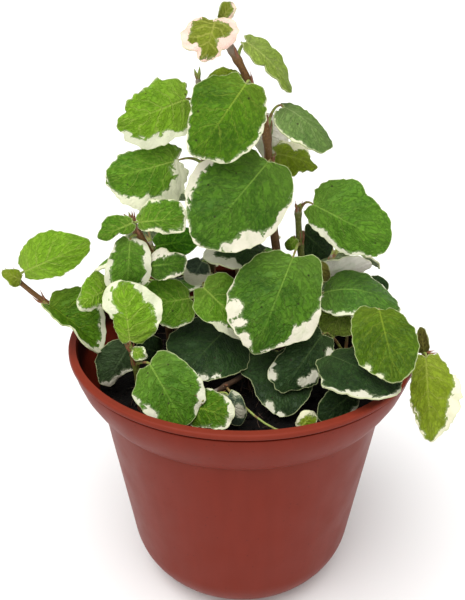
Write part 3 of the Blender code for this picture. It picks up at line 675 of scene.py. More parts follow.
stem.leaf(
    base=(324, 293, -4), tip=(400, 311, -8), width=19, roll=-50, fold=-12, arch=4, tone="mature",
    ragged=0.3, cream=(-0.6, 0.4, -0.2, 0.8, 0.9, 0.9, 0.5, -1),
    bulge=(1.8, 1.2, 0.4, 0, 0, 0, 0, -1.2, -1.5, -1.2, 0, 0, 0, 0, 1, 1.8),
)
stem.leaf(
    base=(319, 271, 5), tip=(372, 264, 7), width=9, roll=42, back=3, tone="blanched", cream=(5,) * 8,
)
stem.leaf(
    base=(319, 264, -3), tip=(327, 281, -5), width=4.5, back=3, small=True, tone="olive", cream=NONE,
)
stem.leaf(base=(296, 239, 2), tip=(287, 249, 2), width=3.5, back=2, small=True, tone="lime", cream=NONE)
stem.leaf(
    base=(352, 291, 6), tip=(389, 283, 5), width=9.5, back=2, tone="dark", cream=NONE,
    bulge=(-1, -1.2, -0.8, -0.4, 0, 0, 0, 0, 0, 0, 0, 0, 0, 0, 0, 0),
)

# The upright stem on the left: brown wood with a fan of small leaves round its top
stem = STEMS["stem_left"] = Stem(
    route=[(166, 310, -2), (160, 285, -3), (152, 256, -4), (140, 236, -5), (131, 221, -5)], radius=1.3,
    tip_radius=0.9,
)
stem.leaf(
    base=(138, 222, -8), tip=(185, 218, -9), width=9.5, right=0.42, back=1, tone="fresh",
    cream=(0.3, 0.2, 0.3, 0.5, 0.7, 0.6, 0.8, 0.8, 0.6, 0.6, 0.3, -0.2, -0.5, 0.3, 0.3, 0.3),
    bulge=(0.3, 0.6, 1.3, 1, 0.5, 2.1, 0.1, -0.3, -0.9, -1.1, -1.1, -0.8, 0, -1.1, -0.5, 0.3),
)
stem.leaf(
    base=(132, 223, -8), tip=(99, 237, -10), width=6, back=0, small=True, tone="fresh", ragged=0.25,
    cream=NONE, bulge=(0.3, 0, 0, 0, 0, -0.4, -1.2, -1.7, -2.1, -1.3, 0, 0.2, 0, 1, 1.5, 1),
)
stem.leaf(
    base=(130, 239, -8), tip=(127, 292, -12), width=11.5, back=1, tone="bright",
    cream=(-0.5, 0.6, 1.3, 1.8, 1.7, 1.6, 1.5, 1, 1, 1.8, 2, 1.3, 0.9, 0.5, 0.4, 0.2),
    bulge=(-0.2, -1, 0, 0.5, 0.6, 1, 1, 0.5, 0, 1.5, 2.5, 0.8, 0.1, -0.3, -0.8, -0.8),
)
stem.leaf(
    base=(150, 266, -9), tip=(187, 262, -9), width=9, back=2, tone="green",
    cream=(1.2, 0.4, 0.1, 0.3, 0.4, 0.6, 0.7, 0.7, 0.3, -1, -1, -1, 0.3, 1.5, 2.4, 2.2),
    bulge=(0, -1, -0.3, 0.2, 0, 0, -0.3, -0.3, 0, 0, 0, 0, 0, 0, 0, 0),
)
stem.leaf(base=(156, 246, -2), tip=(200, 238, -2), width=9, back=4, tone="shade", cream=NONE)
stem.leaf(
    base=(192, 298, -6), tip=(145, 305, -8), width=13.5, back=2, tone="fresh",
    cream=(-1, -1, -1, -1, -1, -1, 0.4, 0.7, 0.4, 0.5, -1, -1, -1, -1, -1, -1),
    bulge=(-0.6, -0.9, -1.5, -1.3, -0.5, 0, 1.4, 1, 1, 1, 0, -1, -0.6, 1.2, 1.4, 0.2),
)
stem.leaf(base=(160, 352, -4), tip=(136, 346, -6), width=9, back=2, small=True, tone="dark", cream=NONE)

# The stem that leans out over the rim on the left: brown wood with a yellow-green leaf at its end
stem = STEMS["stem_left_edge"] = Stem(
    route=[at(-42, -2, 78), at(-49, -3, 89), (45, 302, -4), (22, 284, -5), (11, 275, -5)], radius=1.1,
    tip_radius=0.7,
)
stem.leaf(
    base=(46, 303, -6), tip=(100, 350, -12), width=16, roll=-33, fold=40, back=0, tone="spring",
    ragged=0.2, cream=(-1, 0.4, 1.6, 1.4, 0.4, -1, -1, -1),
    bulge=(-0.9, -0.5, -0.5, -0.6, -0.6, 0.2, 1, -2, -2, -1.5, -1, -0.5, -0.5, -1.8, -1, -1),
)
stem.leaf(
    base=(25, 271, -6), tip=(91, 242, -5), width=12, right=0.4, back=0, tone="lime", ragged=0.25,
    cream=NONE, bulge=(0.3, -0.6, -0.5, 0, 0.3, 0.3, 0.5, 0.7, 0.3, -0.3, -0.6, 0, -0.3, 0, 0.9, 0.9),
)
stem.leaf(
    base=(20, 279, -7), tip=(4, 272, -7), width=4.5, back=0, small=True, tone="lemon", cream=NONE,
    bulge=(-0.3, -0.3, 0, 0, 0, 0.2, 0.3, 0.8, 0.8, 0.5, -0.2, -0.3, 0.4, 0.6, 0, -0.3),
)

# The low stem in front on the left: olive bark, a lime leaf with a broad cream border, and a larger
# leaf that hangs over the peat
stem = STEMS["stem_left_front"] = Stem(
    route=[(137, 376, -20), (135, 362, -20), (131, 350, -20)], radius=1.0, tip_radius=0.7, bark="olive",
)
stem.leaf(
    base=(130, 342, -21), tip=(122, 279, -15), width=15.5, right=0.6, back=0, swing=0.9, tone="lime",
    cream=(0.3, 1.4, 2.8, 3, 2, 0.5, -0.5, -1, -1, -1, -1, -1, 0.3, 2.4, 2.2, 1.2),
    bulge=(-0.5, 0, 0, 0.9, 0.8, -0.5, -0.8, -0.2, -0.5, -2.2, -2.5, -2.7, -1.6, 0.8, 1, 0.5),
)
stem.leaf(
    base=(133, 351, -21), tip=(147, 357, -22), width=4, back=0, small=True, tone="lime",
    cream=(0.3,) * 8,
)
stem.leaf(
    base=(150, 364, -26), tip=(187, 429, -35), width=17, widest=0.5, back=3, swing=0.2, tone="bright",
    cream=(-0.2, -0.2, 0, 0.6, 2.2, 1, -1, -1, -1, -1, -1, -1, -1, -1, -1, -1),
    bulge=(1.2, 0.8, 0.8, 1.8, 1.6, -0.4, -0.3, -1.2, -1.8, -1.6, -0.6, -0.5, 0.2, -1, -1.2, 0.3),
    blots=((135, 399, 1.3), (147, 415, 2.2)),
)
stem.leaf(
    base=(128, 347, -12), tip=(106, 384, -16), width=13, back=3, tone="slate", ragged=0.25,
    cream=(-1, -1, -1, -1, -1, 0.5, 0.8, 0.9, 1.2, 1.6, 0.3, -1, -1, -1, -1, -1),
    bulge=(0, 0, 0, -1, -1, -2, -2.6, -3.2, -2.7, 0.5, 1, 0, 0, 0, 0, 0),
)
stem.leaf(
    base=(107, 289, -9), tip=(78, 304, -17), width=12, back=4, tone="lime",
    cream=(-1, -1, -1, -1, -1, -1, -1, 0.4, 0.5, 0.6, 0.7, 0.4, 0.3, -1, -1, -1),
    bulge=(1, 1.5, 0.5, -0.3, -1, -1.5, -2.2, -2.6, -2.2, -0.9, 1, 0.4, -0.7, -1.5, -1.6, -0.5),
)

# The stem that creeps over the peat in front, with dark brown bark, darkened further as painted
# shade, and mostly dark leaves
stem = STEMS["stem_front"] = Stem(
    route=[at(1, -11, 76), at(-2, -17, 78), at(-7, -24, 79), at(-10, -29, 80)], radius=1.0,
    tip_radius=0.7, bark="shaded",
)
stem.leaf(
    base=(228, 328, -3), tip=(184, 376, -20), width=24, facing=Vector((0, -0.5, 0.85)), tone="dark",
    ragged=0.25, cream=NONE, bulge=(0, 0, 0, 0, 0, 0, -0.4, -0.6, -0.7, -0.4, 0, 0, 0.8, 0.4, 0, 0),
    blots=((203, 379, 1.3), (217, 377, 1.0)),
)
stem.leaf(
    base=(190, 405, -29), tip=(235, 418, -34), width=11.5, back=0, tone="spring",
    cream=(0.3, 0.3, 0.6, 1.3, 1.9, 1.4, 0.7, 0.4, 0.3, 0.4, 0.3, -1, -1, -1, -1, -1),
    bulge=(0, 0, 0, 0, 0, -0.5, 0.3, -0.3, -1.2, -1.1, 0.3, 0, 0, 0, 0, 0),
)
stem.leaf(
    base=(228, 395, -28), tip=(240, 425, -30), width=7, back=0, small=True, tone="dusk", cream=NONE,
    blots=((239, 410, 1.8), (237, 391, 1.7)),
)
stem.leaf(
    base=(278, 352, -11), tip=(288, 416, -28), width=18, widest=0.3, back=8, tone="dark", ragged=0.2,
    cream=NONE, bulge=(0, 0, 0, 0, 0, 0, 0, 0, 0.5, 0, 0, 0.3, 2.8, 4, 3, 0),
    blots=((270, 407, 1.7), (281, 416, 1.3)),
)
stem.leaf(
    base=(300, 427, -36), tip=(315, 413, -33), width=5, back=0, small=True, tone="yellow",
    cream=(1.2, 1, 0.4, 0.3, 0.3, 0.3, 1, 1.2),
)

# The stem in front on the right: brown wood with a yellow leaf at its end, which hangs outside the
# pot, and with dark leaves over the peat
stem = STEMS["stem_right"] = Stem(
    route=[at(32, -7, 82), at(38, -13, 90), at(44, -17, 92), at(50, -21, 90.5)], radius=1.1,
    tip_radius=0.7,
)
stem.leaf(
    base=(379, 309, -22), tip=(398, 384, -43), width=16.5, back=4, swing=0.2, tone="moss", ragged=0.2,
    cream=NONE,
    bulge=(-1.7, -2.2, -1.3, -0.6, -0.8, -0.4, 0, -0.4, -0.3, 0, 0.5, 0.3, 0.9, 1.2, 1.5, 0.3),
    blots=((365, 371, 1.5), (379, 379, 0.8)),
)
stem.leaf(
    base=(426, 357, -25), tip=(431, 442, -32), width=14.5, right=0.38, back=0, tone="lemon", ragged=0.4,
    cream=(-1, -1, -0.6, 1.2, 2, 2.6, 2.4, 1.2, 0.4, 0.5, 0.6, 0.3, -0.4, -1, -1, -1),
    bulge=(0, -2, -2.2, -0.8, -0.3, -0.1, -1.1, -1, 0, -1.2, -1.1, -0.9, -1.1, -0.9, -0.9, -1.5),
)
stem.leaf(
    base=(424, 352, -22), tip=(421, 327, -20), width=3.4, back=0, small=True, tone="olive", cream=NONE,
)
stem.leaf(
    base=(330, 356, -24), tip=(399, 396, -42), width=19, fold=-2, facing=Vector((0.1, -0.22, 0.95)),
    back=14, swing=0.3, tone="dark", ragged=0.25,
    cream=(-1, -1, -1, -1, -1, 0.3, 0.6, 0.5, 0.8, 0.8, 0.8, 0.6, -1, -1, -1, -1),
    bulge=(0, 0, 0, 0, 0, -0.5, -0.6, -0.2, 0.9, 1.5, 3, 3, -0.9, 0, 0, 0),
    blots=((321, 389, 1.7), (340, 398, 2.0), (352, 399, 1.8), (361, 397, 1.4)),
)
stem.leaf(
    base=(322, 335, -14), tip=(279, 395, -25), width=14.5, right=0.45, back=9, tone="dark", ragged=0.3,
    cream=NONE, bulge=(0, 0, 0, -1, 0, -2, -1.6, -1.2, -2, -2, 0, 2, 0.8, 0, 0, 0),
    blots=(
        (271, 364, 1.9), (272, 373, 1.8), (302, 385, 1.6), (314, 379, 1.8), (331, 353, 1.3),
        (331, 360, 1.5),
    ),
)
stem.leaf(
    base=(345, 303, -3), tip=(330, 339, -9), width=13, back=9, tone="faded", cream=NONE,
    bulge=(-2.3, -2.5, -3.5, -3.5, -3, -1, 0, -0.8, -1.4, -1.2, 0, 0, 0, -1, -2, -2),
)
stem.leaf(
    base=(352, 394, -29), tip=(319, 420, -34), width=9, back=6, tone="dark",
    cream=(-1, -1, 0.6, 0.7, 0.3, -1, -1, -1),
)

# Three stems at the back, which the photograph doesn't show: each bows outwards and its leaves fan
# out from it by turns, with seeded chance in their lengths, turns and droops.
BACK_STEMS = {
    "stem_back_left": dict(foot=at(-22, 17, 70), top=at(-31, 29, 103), leaves=5, seed=3),
    "stem_back": dict(foot=at(0, 24, 70), top=at(-3, 37, 108), leaves=6, seed=4),
    "stem_back_right": dict(foot=at(21, 16, 70), top=at(30, 28, 99), leaves=5, seed=7),
}
BACK_LEAF_LENGTH = (14.0, 19.0)     # mm
BACK_LEAF_WIDTH_SHARE = 0.86
BACK_STALK = (5.0 * MM, 8.0 * MM)
BACK_STALK_RISE = 3.0 * MM
BACK_TURN = (88.0, 35.0)    # degrees from straight outwards, at the lowest leaf and at the top one
BACK_TURN_SPREAD = 8
BACK_DROOP = (4.0, 36.0)    # degrees below level, in the same order
BACK_DROOP_SPREAD = 4
BACK_ROLL_SPREAD = 10
BACK_LOWEST = 0.42
BACK_START = 8.0 * MM
BACK_BOW = 0.12
BACK_TONES = ("mature", "green", "mature", "fresh", "green", "yellow")


def back_stem(foot, top, leaves, seed):
    """A stem that bows outwards from foot to top, with a leaf by turns to its left and its right."""
    rng = random.Random(seed)
    half_way = foot.lerp(top, 0.5) + Vector((0, 0, (top - foot).length * BACK_BOW))
    route = [foot + Vector((0, 0, BACK_START)), half_way, top]
    outward = Vector((top.x, top.y, 0)).normalized()
    blades = []
    for index in range(leaves):
        share = mix(BACK_LOWEST, 1.0, index / (leaves - 1))
        side = 1 if index % 2 else -1
        turn = side * mix(*BACK_TURN, share) + rng.uniform(-BACK_TURN_SPREAD, BACK_TURN_SPREAD)
        heading = Quaternion((0, 0, 1), math.radians(turn)) @ outward
        start = foot.lerp(top, share) + heading * rng.uniform(*BACK_STALK)
        start.z += BACK_STALK_RISE
        droop = mix(*BACK_DROOP, share) + rng.uniform(-BACK_DROOP_SPREAD, BACK_DROOP_SPREAD)
        drop = math.radians(droop)
        length = rng.uniform(*BACK_LEAF_LENGTH)
        run = heading * math.cos(drop) + Vector((0, 0, -math.sin(drop)))
        blades.append(Leaf(
            base=start,
            tip=start + run * length * MM,
            width=length * BACK_LEAF_WIDTH_SHARE,
            facing=heading * math.sin(drop) + Vector((0, 0, math.cos(drop))),
            roll=rng.uniform(-BACK_ROLL_SPREAD, BACK_ROLL_SPREAD),
            back=4,
            swing=0.6,
            tone=BACK_TONES[index % len(BACK_TONES)],
        ))
    return Stem(route=route, radius=1.2, tip_radius=0.8, bark="green", leaves=blades)


for name, plan in BACK_STEMS.items():
    STEMS[name] = back_stem(**plan)

# Stems: thin and woody, brown below and olive-brown towards the tip, swollen a little where a leaf
# stands. Each one grows out of the peat, and its leaf stalks, sheaths, roots and bud grow on it.
ROOT_DEPTH = 9.0 * MM
STEM_RISE = 2.0 * MM
STEM_LEAN = 0.5
STEM_STEPS = 2
STEM_SPACING = 0.7 * MM
STEM_SIDES = 12
LOWEST_GROWTH = 10.0 * MM
NODE_SWELL = 0.28
NODE_LENGTH = 1.1 * MM
STALK_RADIUS = 0.55 * MM
STALK_SMALL_SHARE = 0.7
STALK_TIP_SHARE = 0.5
STALK_POINTS = 10
STALK_LOWEST = 3.0 * MM
STALK_LEAN = 0.5
STALK_BEND = 0.35
RIDGE_END = 0.62
RIDGE_POINTS = 7
RIDGE_TIP_RADIUS = 0.1 * MM
RIDGE_SINK = 0.7
SHEATH_LENGTH = (2.6 * MM, 4.2 * MM)
SHEATH_SPREAD = 0.45
SHEATH_TURN = (0.7, 1.3)
SHEATH_FOOT = 0.6
SHEATH_SMALL_SHARE = 0.7
SHEATH_RADII = (0.42 * MM, 0.3 * MM, 0.03 * MM)
SHEATH_LIFT = 0.25
BUD_FOOT = 0.5 * MM
BUD_SCALES = ((-1, 0.8), (1, 1.0))
BUD_FOOT_WIDTH = 0.7
BUD_BELLY_WIDTH = 0.62
BUD_BELLY_PLACE = 0.4
BUD_BELLY_GAP = 0.55
BUD_TIP_GAP = 1.7
BUD_TIP_RADIUS = 0.08 * MM
STEM_UNEVEN = 0.05
STEM_UNEVEN_SIZE = 3.0 * MM
STEM_END = 0.6
ROOT_COUNT = 9
ROOT_PLACE = (1.0 * MM, 9.0 * MM)
ROOT_HIGHEST = 0.8
ROOT_LENGTH = (3.0 * MM, 7.0 * MM)
ROOT_RADIUS = 0.11 * MM
ROOT_TAPER = 0.5
ROOT_KNOTS = 5
ROOT_START = 0.7
ROOT_SPREAD = 0.5
ROOT_DROP = 1.5
ROOT_STRAY = 0.3 * MM


def smooth_route(points):
    """Points along a smooth curve through the given ones."""
    ends = [points[0] * 2 - points[1]] + points + [points[-1] * 2 - points[-2]]
    route = []
    for before, start, end, after in zip(ends, ends[1:], ends[2:], ends[3:]):
        for step in range(STEM_STEPS):
            t = step / STEM_STEPS
            route.append(0.5 * (
                2 * start
                + (end - before) * t
                + (2 * before - 5 * start + 4 * end - after) * t ** 2
                + (3 * start - before - 3 * end + after) * t ** 3
            ))
    return route + [points[-1]]


def stem_points(stem):
    """The stem's axis: straight up out of the soil, then through its route."""
    start = stem.route[0]
    lean = (stem.route[1] - start).normalized()
    above = start.z - SOIL_TOP
    foot_x = start.x - lean.x * above * STEM_LEAN
    foot_y = start.y - lean.y * above * STEM_LEAN
    foot = Vector((foot_x, foot_y, SOIL_TOP - ROOT_DEPTH))
    collar = Vector((foot_x, foot_y, SOIL_TOP + STEM_RISE))
    return [foot] + smooth_route([collar] + stem.route)


def nearest_on(points, place):
    """How far along the points, in metres, the place nearest to a given one lies."""
    best = (math.inf, 0.0)
    run = 0.0
    for start, end in zip(points, points[1:]):
        span = end - start
        share = max(0.0, min(1.0, (place - start).dot(span) / span.length_squared))
        gap = (start + span * share - place).length
        best = min(best, (gap, run + share * span.length))
        run += span.length
    return best[1]


def along(points, distance):
    """The place and the heading at a distance along the points."""
    for start, end in zip(points, points[1:]):
        span = (end - start).length
        if distance <= span:
            return start.lerp(end, distance / span), (end - start).normalized()
        distance -= span
    return points[-1], (points[-1] - points[-2]).normalized()


def leaf_frame(leaf):
    """The blade's own axes: +Y from base to tip, +Z out of its face, +X to its right."""
    forward = (leaf.tip - leaf.base).normalized()
    facing = leaf.facing or (EYE - (leaf.base + leaf.tip) / 2)
    face = (facing - forward * facing.dot(forward)).normalized()
    face = Quaternion(forward, math.radians(leaf.roll)) @ face
    right = forward.cross(face)
    axes = Matrix((right, forward, face)).transposed().to_4x4()
    axes.translation = leaf.base
    return axes


def stalk_route(leaf, axis):
    """Where the stalk leaves the stem, and its smooth way from there to the blade's base."""
    reach = max(STALK_LOWEST, nearest_on(axis, leaf.base) - leaf.back * MM)
    joint, heading = along(axis, reach)
    axes = leaf_frame(leaf)
    forward = axes.col[1].to_3d()
    face = axes.col[2].to_3d()
    bend_length = (leaf.base - joint).length * STALK_BEND
    leave = (heading * STALK_LEAN + (leaf.base - joint).normalized()).normalized() * bend_length
    arrive = (forward * leaf.swing + face * (1 - leaf.swing)).normalized() * bend_length
    bend = [joint, joint + leave, leaf.base - arrive, leaf.base]
    points = []
    for step in range(STALK_POINTS):
        t = step / (STALK_POINTS - 1)
        points.append(
            bend[0] * (1 - t) ** 3
            + bend[1] * 3 * t * (1 - t) ** 2
            + bend[2] * 3 * t ** 2 * (1 - t)
            + bend[3] * t ** 3
        )
    return reach, heading, points


# The blade's form: the frame's outline from lobe to tip, folded, arched and waved as there. Crinkles,
# fine teeth and the puckers between the laterals are too fine for the frame, and are added here.
LOBE_ANGLE = math.radians(163)
LOBE_BACK = 0.10
LOBE_FULLNESS = 0.8
TIP_POINT = 0.25
BASE_CROWDING = 1.5
RAGGED_DEPTH = 0.035
RAGGED_TURNS = 2.5
WAVE_DEPTH = 0.5 * MM
RIPPLE_TURNS = 1.6
TIP_CALM = 4
CRINKLE_DEPTH = 0.22 * MM
CRINKLE_TURNS = 5.3
TOOTH_DEPTH = 0.012
TOOTH_TURNS = 11
QUILT_DEPTH = 0.16 * MM
LATERALS = 6.0
LATERAL_SLANT = 0.12


def margin(leaf, share):
    """The margin from lobe to tip: how far out, in half widths, and how far along, in lengths."""
    angle = LOBE_ANGLE * (1 - share)
    if angle > math.pi / 2:
        forward = leaf.widest + (leaf.widest + LOBE_BACK) * math.cos(angle)
        return math.sin(angle) ** LOBE_FULLNESS, forward
    forward = leaf.widest + (1 - leaf.widest) * math.cos(angle)
    return math.sin(angle) ** (1 + TIP_POINT * math.cos(angle)), forward


def blade_point(leaf, phases, across, share):
    """A place on the blade: across from -1 to 1, share from 0 at the base to 1 at the tip."""
    length = (leaf.tip - leaf.base).length
    out, forward = margin(leaf, share)
    side = 1 if across > 0 else -1
    half = leaf.width * MM * (leaf.right if across > 0 else 1 - leaf.right)
    reach = abs(across)
    teeth = RAGGED_DEPTH * math.sin(math.tau * RAGGED_TURNS * share + phases[side])
    teeth += TOOTH_DEPTH * math.sin(math.tau * TOOTH_TURNS * share + 3 * phases[side])
    x = side * half * out * reach * (1 + teeth * reach ** 3)
    y = length * mix(share ** BASE_CROWDING, forward, reach)
    bow = 4 * y / length * (1 - y / length)
    ripple = math.sin(math.tau * RIPPLE_TURNS * share + phases[side])
    crinkle = math.sin(math.tau * CRINKLE_TURNS * share + 2 * phases[-side])
    calm = min(1.0, TIP_CALM * (1 - share))
    z = abs(x) * math.tan(math.radians(leaf.fold))
    z += leaf.arch * MM * bow
    z += WAVE_DEPTH * reach ** 2 * ripple * calm
    z += CRINKLE_DEPTH * reach ** 4 * crinkle * calm
    if not leaf.small:
        quilt = math.cos(math.tau * LATERALS * (share - LATERAL_SLANT * reach))
        z += QUILT_DEPTH * quilt * 4 * reach * (1 - reach) * calm
    return Vector((x, y, z))


def draws(name, index):
    """A leaf's own chance numbers, and with them the phase of the waves in each of its halves."""
    rng = random.Random(f"{name} {index}")
    return rng, {1: rng.uniform(0, math.tau), -1: rng.uniform(0, math.tau)}


def stalk_and_ridge(leaf, phases, points):
    """The leaf's stalk, which goes on as a ridge under the blade's midrib and thins out there."""
    radius = STALK_RADIUS * (STALK_SMALL_SHARE if leaf.small else 1.0)
    stalk = [(p, radius * mix(1, STALK_TIP_SHARE, i / STALK_POINTS)) for i, p in enumerate(points)]
    axes = leaf_frame(leaf)
    for step in range(1, RIDGE_POINTS):
        share = step / (RIDGE_POINTS - 1)
        slim = mix(radius * STALK_TIP_SHARE, RIDGE_TIP_RADIUS, share)
        under = blade_point(leaf, phases, 0.0, RIDGE_END * share)
        under.z -= slim * RIDGE_SINK + RIDGE_TIP_RADIUS
        stalk.append((axes @ under, slim))
    return stalk


def sheath(place, direction, length):
    """One of the two thin pointed sheaths that stand by a leaf's stalk."""
    bend = place + direction * length * 0.5
    tip = place + direction * length + Vector((0, 0, length * SHEATH_LIFT))
    return list(zip((place, bend, tip), SHEATH_RADII))


def bud_scale(stem, tip, heading, side, share):
    """One of the two pointed scales that close the bud at the stem's tip."""
    stem_radius = stem.tip_radius * MM
    apart = EYE_RIGHT * side * stem_radius * BUD_BELLY_GAP
    rise = heading * stem.bud * share * MM
    return [
        (tip - heading * BUD_FOOT, stem_radius * BUD_FOOT_WIDTH),
        (tip + rise * BUD_BELLY_PLACE + apart, stem_radius * BUD_BELLY_WIDTH),
        (tip + rise + apart * BUD_TIP_GAP, BUD_TIP_RADIUS),
    ]


def wood(stem, axis, length, joints):
    """The stem's wood, uneven and swollen where its leaves stand."""
    count = max(2, round(length / STEM_SPACING))
    points = []
    for step in range(count + 1):
        distance = length * step / count
        place, _ = along(axis, min(distance, length - SAME_POINT))
        swell = max(math.exp(-((distance - joint) / NODE_LENGTH) ** 2) for joint in joints)
        radius = mix(stem.radius, stem.tip_radius, distance / length) * MM
        radius *= 1 + NODE_SWELL * swell + STEM_UNEVEN * noise.noise(place / STEM_UNEVEN_SIZE)
        points.append((place, radius if step < count else radius * STEM_END))
    return points


def root(stem, axis, length, rng):
    """A short root that leaves the stem's foot and bends down into the peat."""
    distance = ROOT_DEPTH + rng.uniform(*ROOT_PLACE)
    place, heading = along(axis, min(distance, length * ROOT_HIGHEST))
    side = Quaternion(heading, rng.uniform(0, math.tau)) @ heading.orthogonal().normalized()
    reach = rng.uniform(*ROOT_LENGTH)
    points = []
    for knot in range(ROOT_KNOTS):
        share = knot / (ROOT_KNOTS - 1)
        bend = place + side * (stem.radius * MM * ROOT_START + reach * ROOT_SPREAD * share)
        bend.z -= reach * share ** ROOT_DROP
        bend += Vector((rng.uniform(-1, 1), rng.uniform(-1, 1), 0)) * ROOT_STRAY
        points.append((bend, ROOT_RADIUS * (1 - ROOT_TAPER * share)))
    return points


# Bark: green skin on young wood, and on older wood brown cork with cracks and pale pores. Its sheen
# is soft and dull. The growth attribute runs from 0 at the peat to 1 at the stem's tip.
BARK_CRACK = "#2b1a12"
BARK_PORE = "#a48a6a"
BARK_DRY_TIP = "#93897c"
BARKS = {
    # old bark, young bark
    "brown": ("#4f331a", "#765226"),
    "green": ("#4b3a22", "#6f6c35"),
    "olive": ("#57311f", "#666e26"),
    # Painted shade: shaded bark is darker still, for the stem that lies in the shadow in front
    "shaded": ("#2c1e14", "#453120"),
}
TIMES_PLUS = {"operation": "MULTIPLY_ADD"}
PLUS = {"operation": "ADD"}

barks = {}
for bark, (old, young) in BARKS.items():
    material, tree, shader, place = surface(bark + "_bark", Roughness=0.62, IOR=1.45)
    growth = node(tree, "Attribute", {"attribute_name": "growth"}, out="Fac")
    blotch = node(tree, "TexNoise", {}, place, Scale=1 / (2.5 * MM), Detail=4.0)
    shift = node(tree, "Math", TIMES_PLUS, blotch, 0.8, -0.4)
    age = node(tree, "Math", PLUS, growth, shift)
    age = node(tree, "MapRange", EASE, age, 0.15, 0.75, 0.0, 1.0)
    skin = node(tree, "Mix", COLOURS, age, linear(old), linear(young))
    fine = node(tree, "TexNoise", {}, place, Scale=1 / (0.5 * MM), Detail=3.0)
    dark = node(tree, "MapRange", EASE, fine, 0.35, 0.65, 0.35, 0.0)
    skin = node(tree, "Mix", COLOURS, dark, skin, linear(BARK_CRACK))
    pores = node(tree, "TexVoronoi", {}, place, Scale=1 / (1.1 * MM))
    pores = node(tree, "MapRange", EASE, pores, 0.1, 0.2, 0.6, 0.0)
    skin = node(tree, "Mix", COLOURS, pores, skin, linear(BARK_PORE))
    dried = node(tree, "MapRange", EASE, growth, 0.96, 0.99, 0.0, 0.7)
    skin = node(tree, "Mix", COLOURS, dried, skin, linear(BARK_DRY_TIP))
    relief = node(tree, "Bump", {}, Strength=0.6, Distance=0.12 * MM, Height=fine)
    feed(shader, Base_Color=skin, Normal=relief)
    barks[bark] = material

# Stalks: green skin with russet patches, dulled by fine down, which is drawn coarser than the real
# one, so that it shows.
STALK_GREEN = "#8fa04c"
STALK_RUSSET = "#7a5c36"
stalk_skin, tree, shader, place = surface("downy_stalk_skin", Roughness=0.55, IOR=1.45)
tint = node(tree, "TexNoise", {}, place, Scale=1 / (2.2 * MM), Detail=3.0)
tint = node(tree, "MapRange", EASE, tint, 0.4, 0.65, 0.0, 1.0)
skin = node(tree, "Mix", COLOURS, tint, linear(STALK_GREEN), linear(STALK_RUSSET))
down = node(tree, "TexNoise", {}, place, Scale=1 / (0.3 * MM))
relief = node(tree, "Bump", {}, Strength=0.4, Distance=0.06 * MM, Height=down)
feed(shader, Base_Color=skin, Normal=relief)

# A sheath is dry and papery, and rust brown with paler flecks.
sheath_skin = mottled("papery_sheath", 1.2 * MM, "#5c2a1c", "#b07a58", Roughness=0.5, IOR=1.45)


def joined(name, parts):
    """One mesh of several, each with its own place in the list of materials."""
    bm = bmesh.new()
    for index, mesh in enumerate(parts):
        start = len(bm.faces)
        bm.from_mesh(mesh)
        bm.faces.ensure_lookup_table()
        for face in bm.faces[start:]:
            face.material_index = index
    return mesh_of(name, bm)


for name, stem in STEMS.items():
    rng = random.Random(name)
    axis = stem_points(stem)
    length = sum((end - start).length for start, end in zip(axis, axis[1:]))
    stalks, sheaths, joints = [], [], []
    for index, leaf in enumerate(stem.leaves):
        reach, heading, points = stalk_route(leaf, axis)
        joints.append(reach)
        stalks.append(stalk_and_ridge(leaf, draws(name, index)[1], points))
        joint = points[0]
        away = (leaf.base - joint).normalized()
        small = SHEATH_SMALL_SHARE if leaf.small else 1.0
        for turn in (-1, 1):
            spread = Quaternion(heading, turn * rng.uniform(*SHEATH_TURN)) @ away
            direction = (heading + spread * SHEATH_SPREAD).normalized()
            foot = joint + spread * stem.radius * MM * SHEATH_FOOT
            sheaths.append(sheath(foot, direction, rng.uniform(*SHEATH_LENGTH) * small))
    if stem.bud:
        heading = (axis[-1] - axis[-2]).normalized()
        stalks += [bud_scale(stem, axis[-1], heading, side, share) for side, share in BUD_SCALES]
    roots = [root(stem, axis, length, rng) for index in range(ROOT_COUNT)]
    trunk = rod([wood(stem, axis, length, joints)], STEM_SIDES)
    mesh = joined(name + "_wood", [trunk, rod(stalks), rod(sheaths, 6), rod(roots, 4)])
    growth = mesh.attributes.new("growth", "FLOAT", "POINT")
    rise = max(axis[-1].z - SOIL_TOP, LOWEST_GROWTH)
    for vertex, value in zip(mesh.vertices, growth.data):
        value.value = max(0.0, (vertex.co.z - SOIL_TOP) / rise)
    piece = finished(name + "_wood", mesh, [barks[stem.bark], stalk_skin, sheath_skin, root_hair])
    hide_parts(name)

# Leaves: thin leathery blades, green in the middle and cream along the margin, where the plant lacks
# leaf green. Each is one blade that grows on its stalk, with its midrib and laterals sunk in its face.
BLADE_THICKNESS = 0.42 * MM
LARGE_BLADE = 15.0 * MM
GRIDS = {"large": (34, 44), "middle": (22, 28), "small": (12, 16)}
RIM_TEETH_SIZE = 1.5 * MM
RIM_TEETH_DEPTH = 1.4 * MM
ASIDE = 0.01
BLADE_LAYERS = ("share", "reach", "rib_mm", "step_mm", "edge_mm", "cream_mm")
CHANCE_CREAM = (-1.0, -0.6, 0.6, 1.2, 1.8, 2.6, 3.6)     # mm
CREAM_SHADE = "#b3bc95"
SPECK_BROWN = "#241a10"
RIM_PALE = "#c3cb94"
BACK_BLOOM = "#aebf8e"
BACK_BLOOM_SHARE = 0.45
SHADOW_SHARE = 0.42
MINUS = {"operation": "SUBTRACT"}
SIZE_OF = {"operation": "ABSOLUTE"}
WRINKLE = 0.2 * MM
WRINKLES_UP = 15.0
WRINKLES_OUT = 4.0
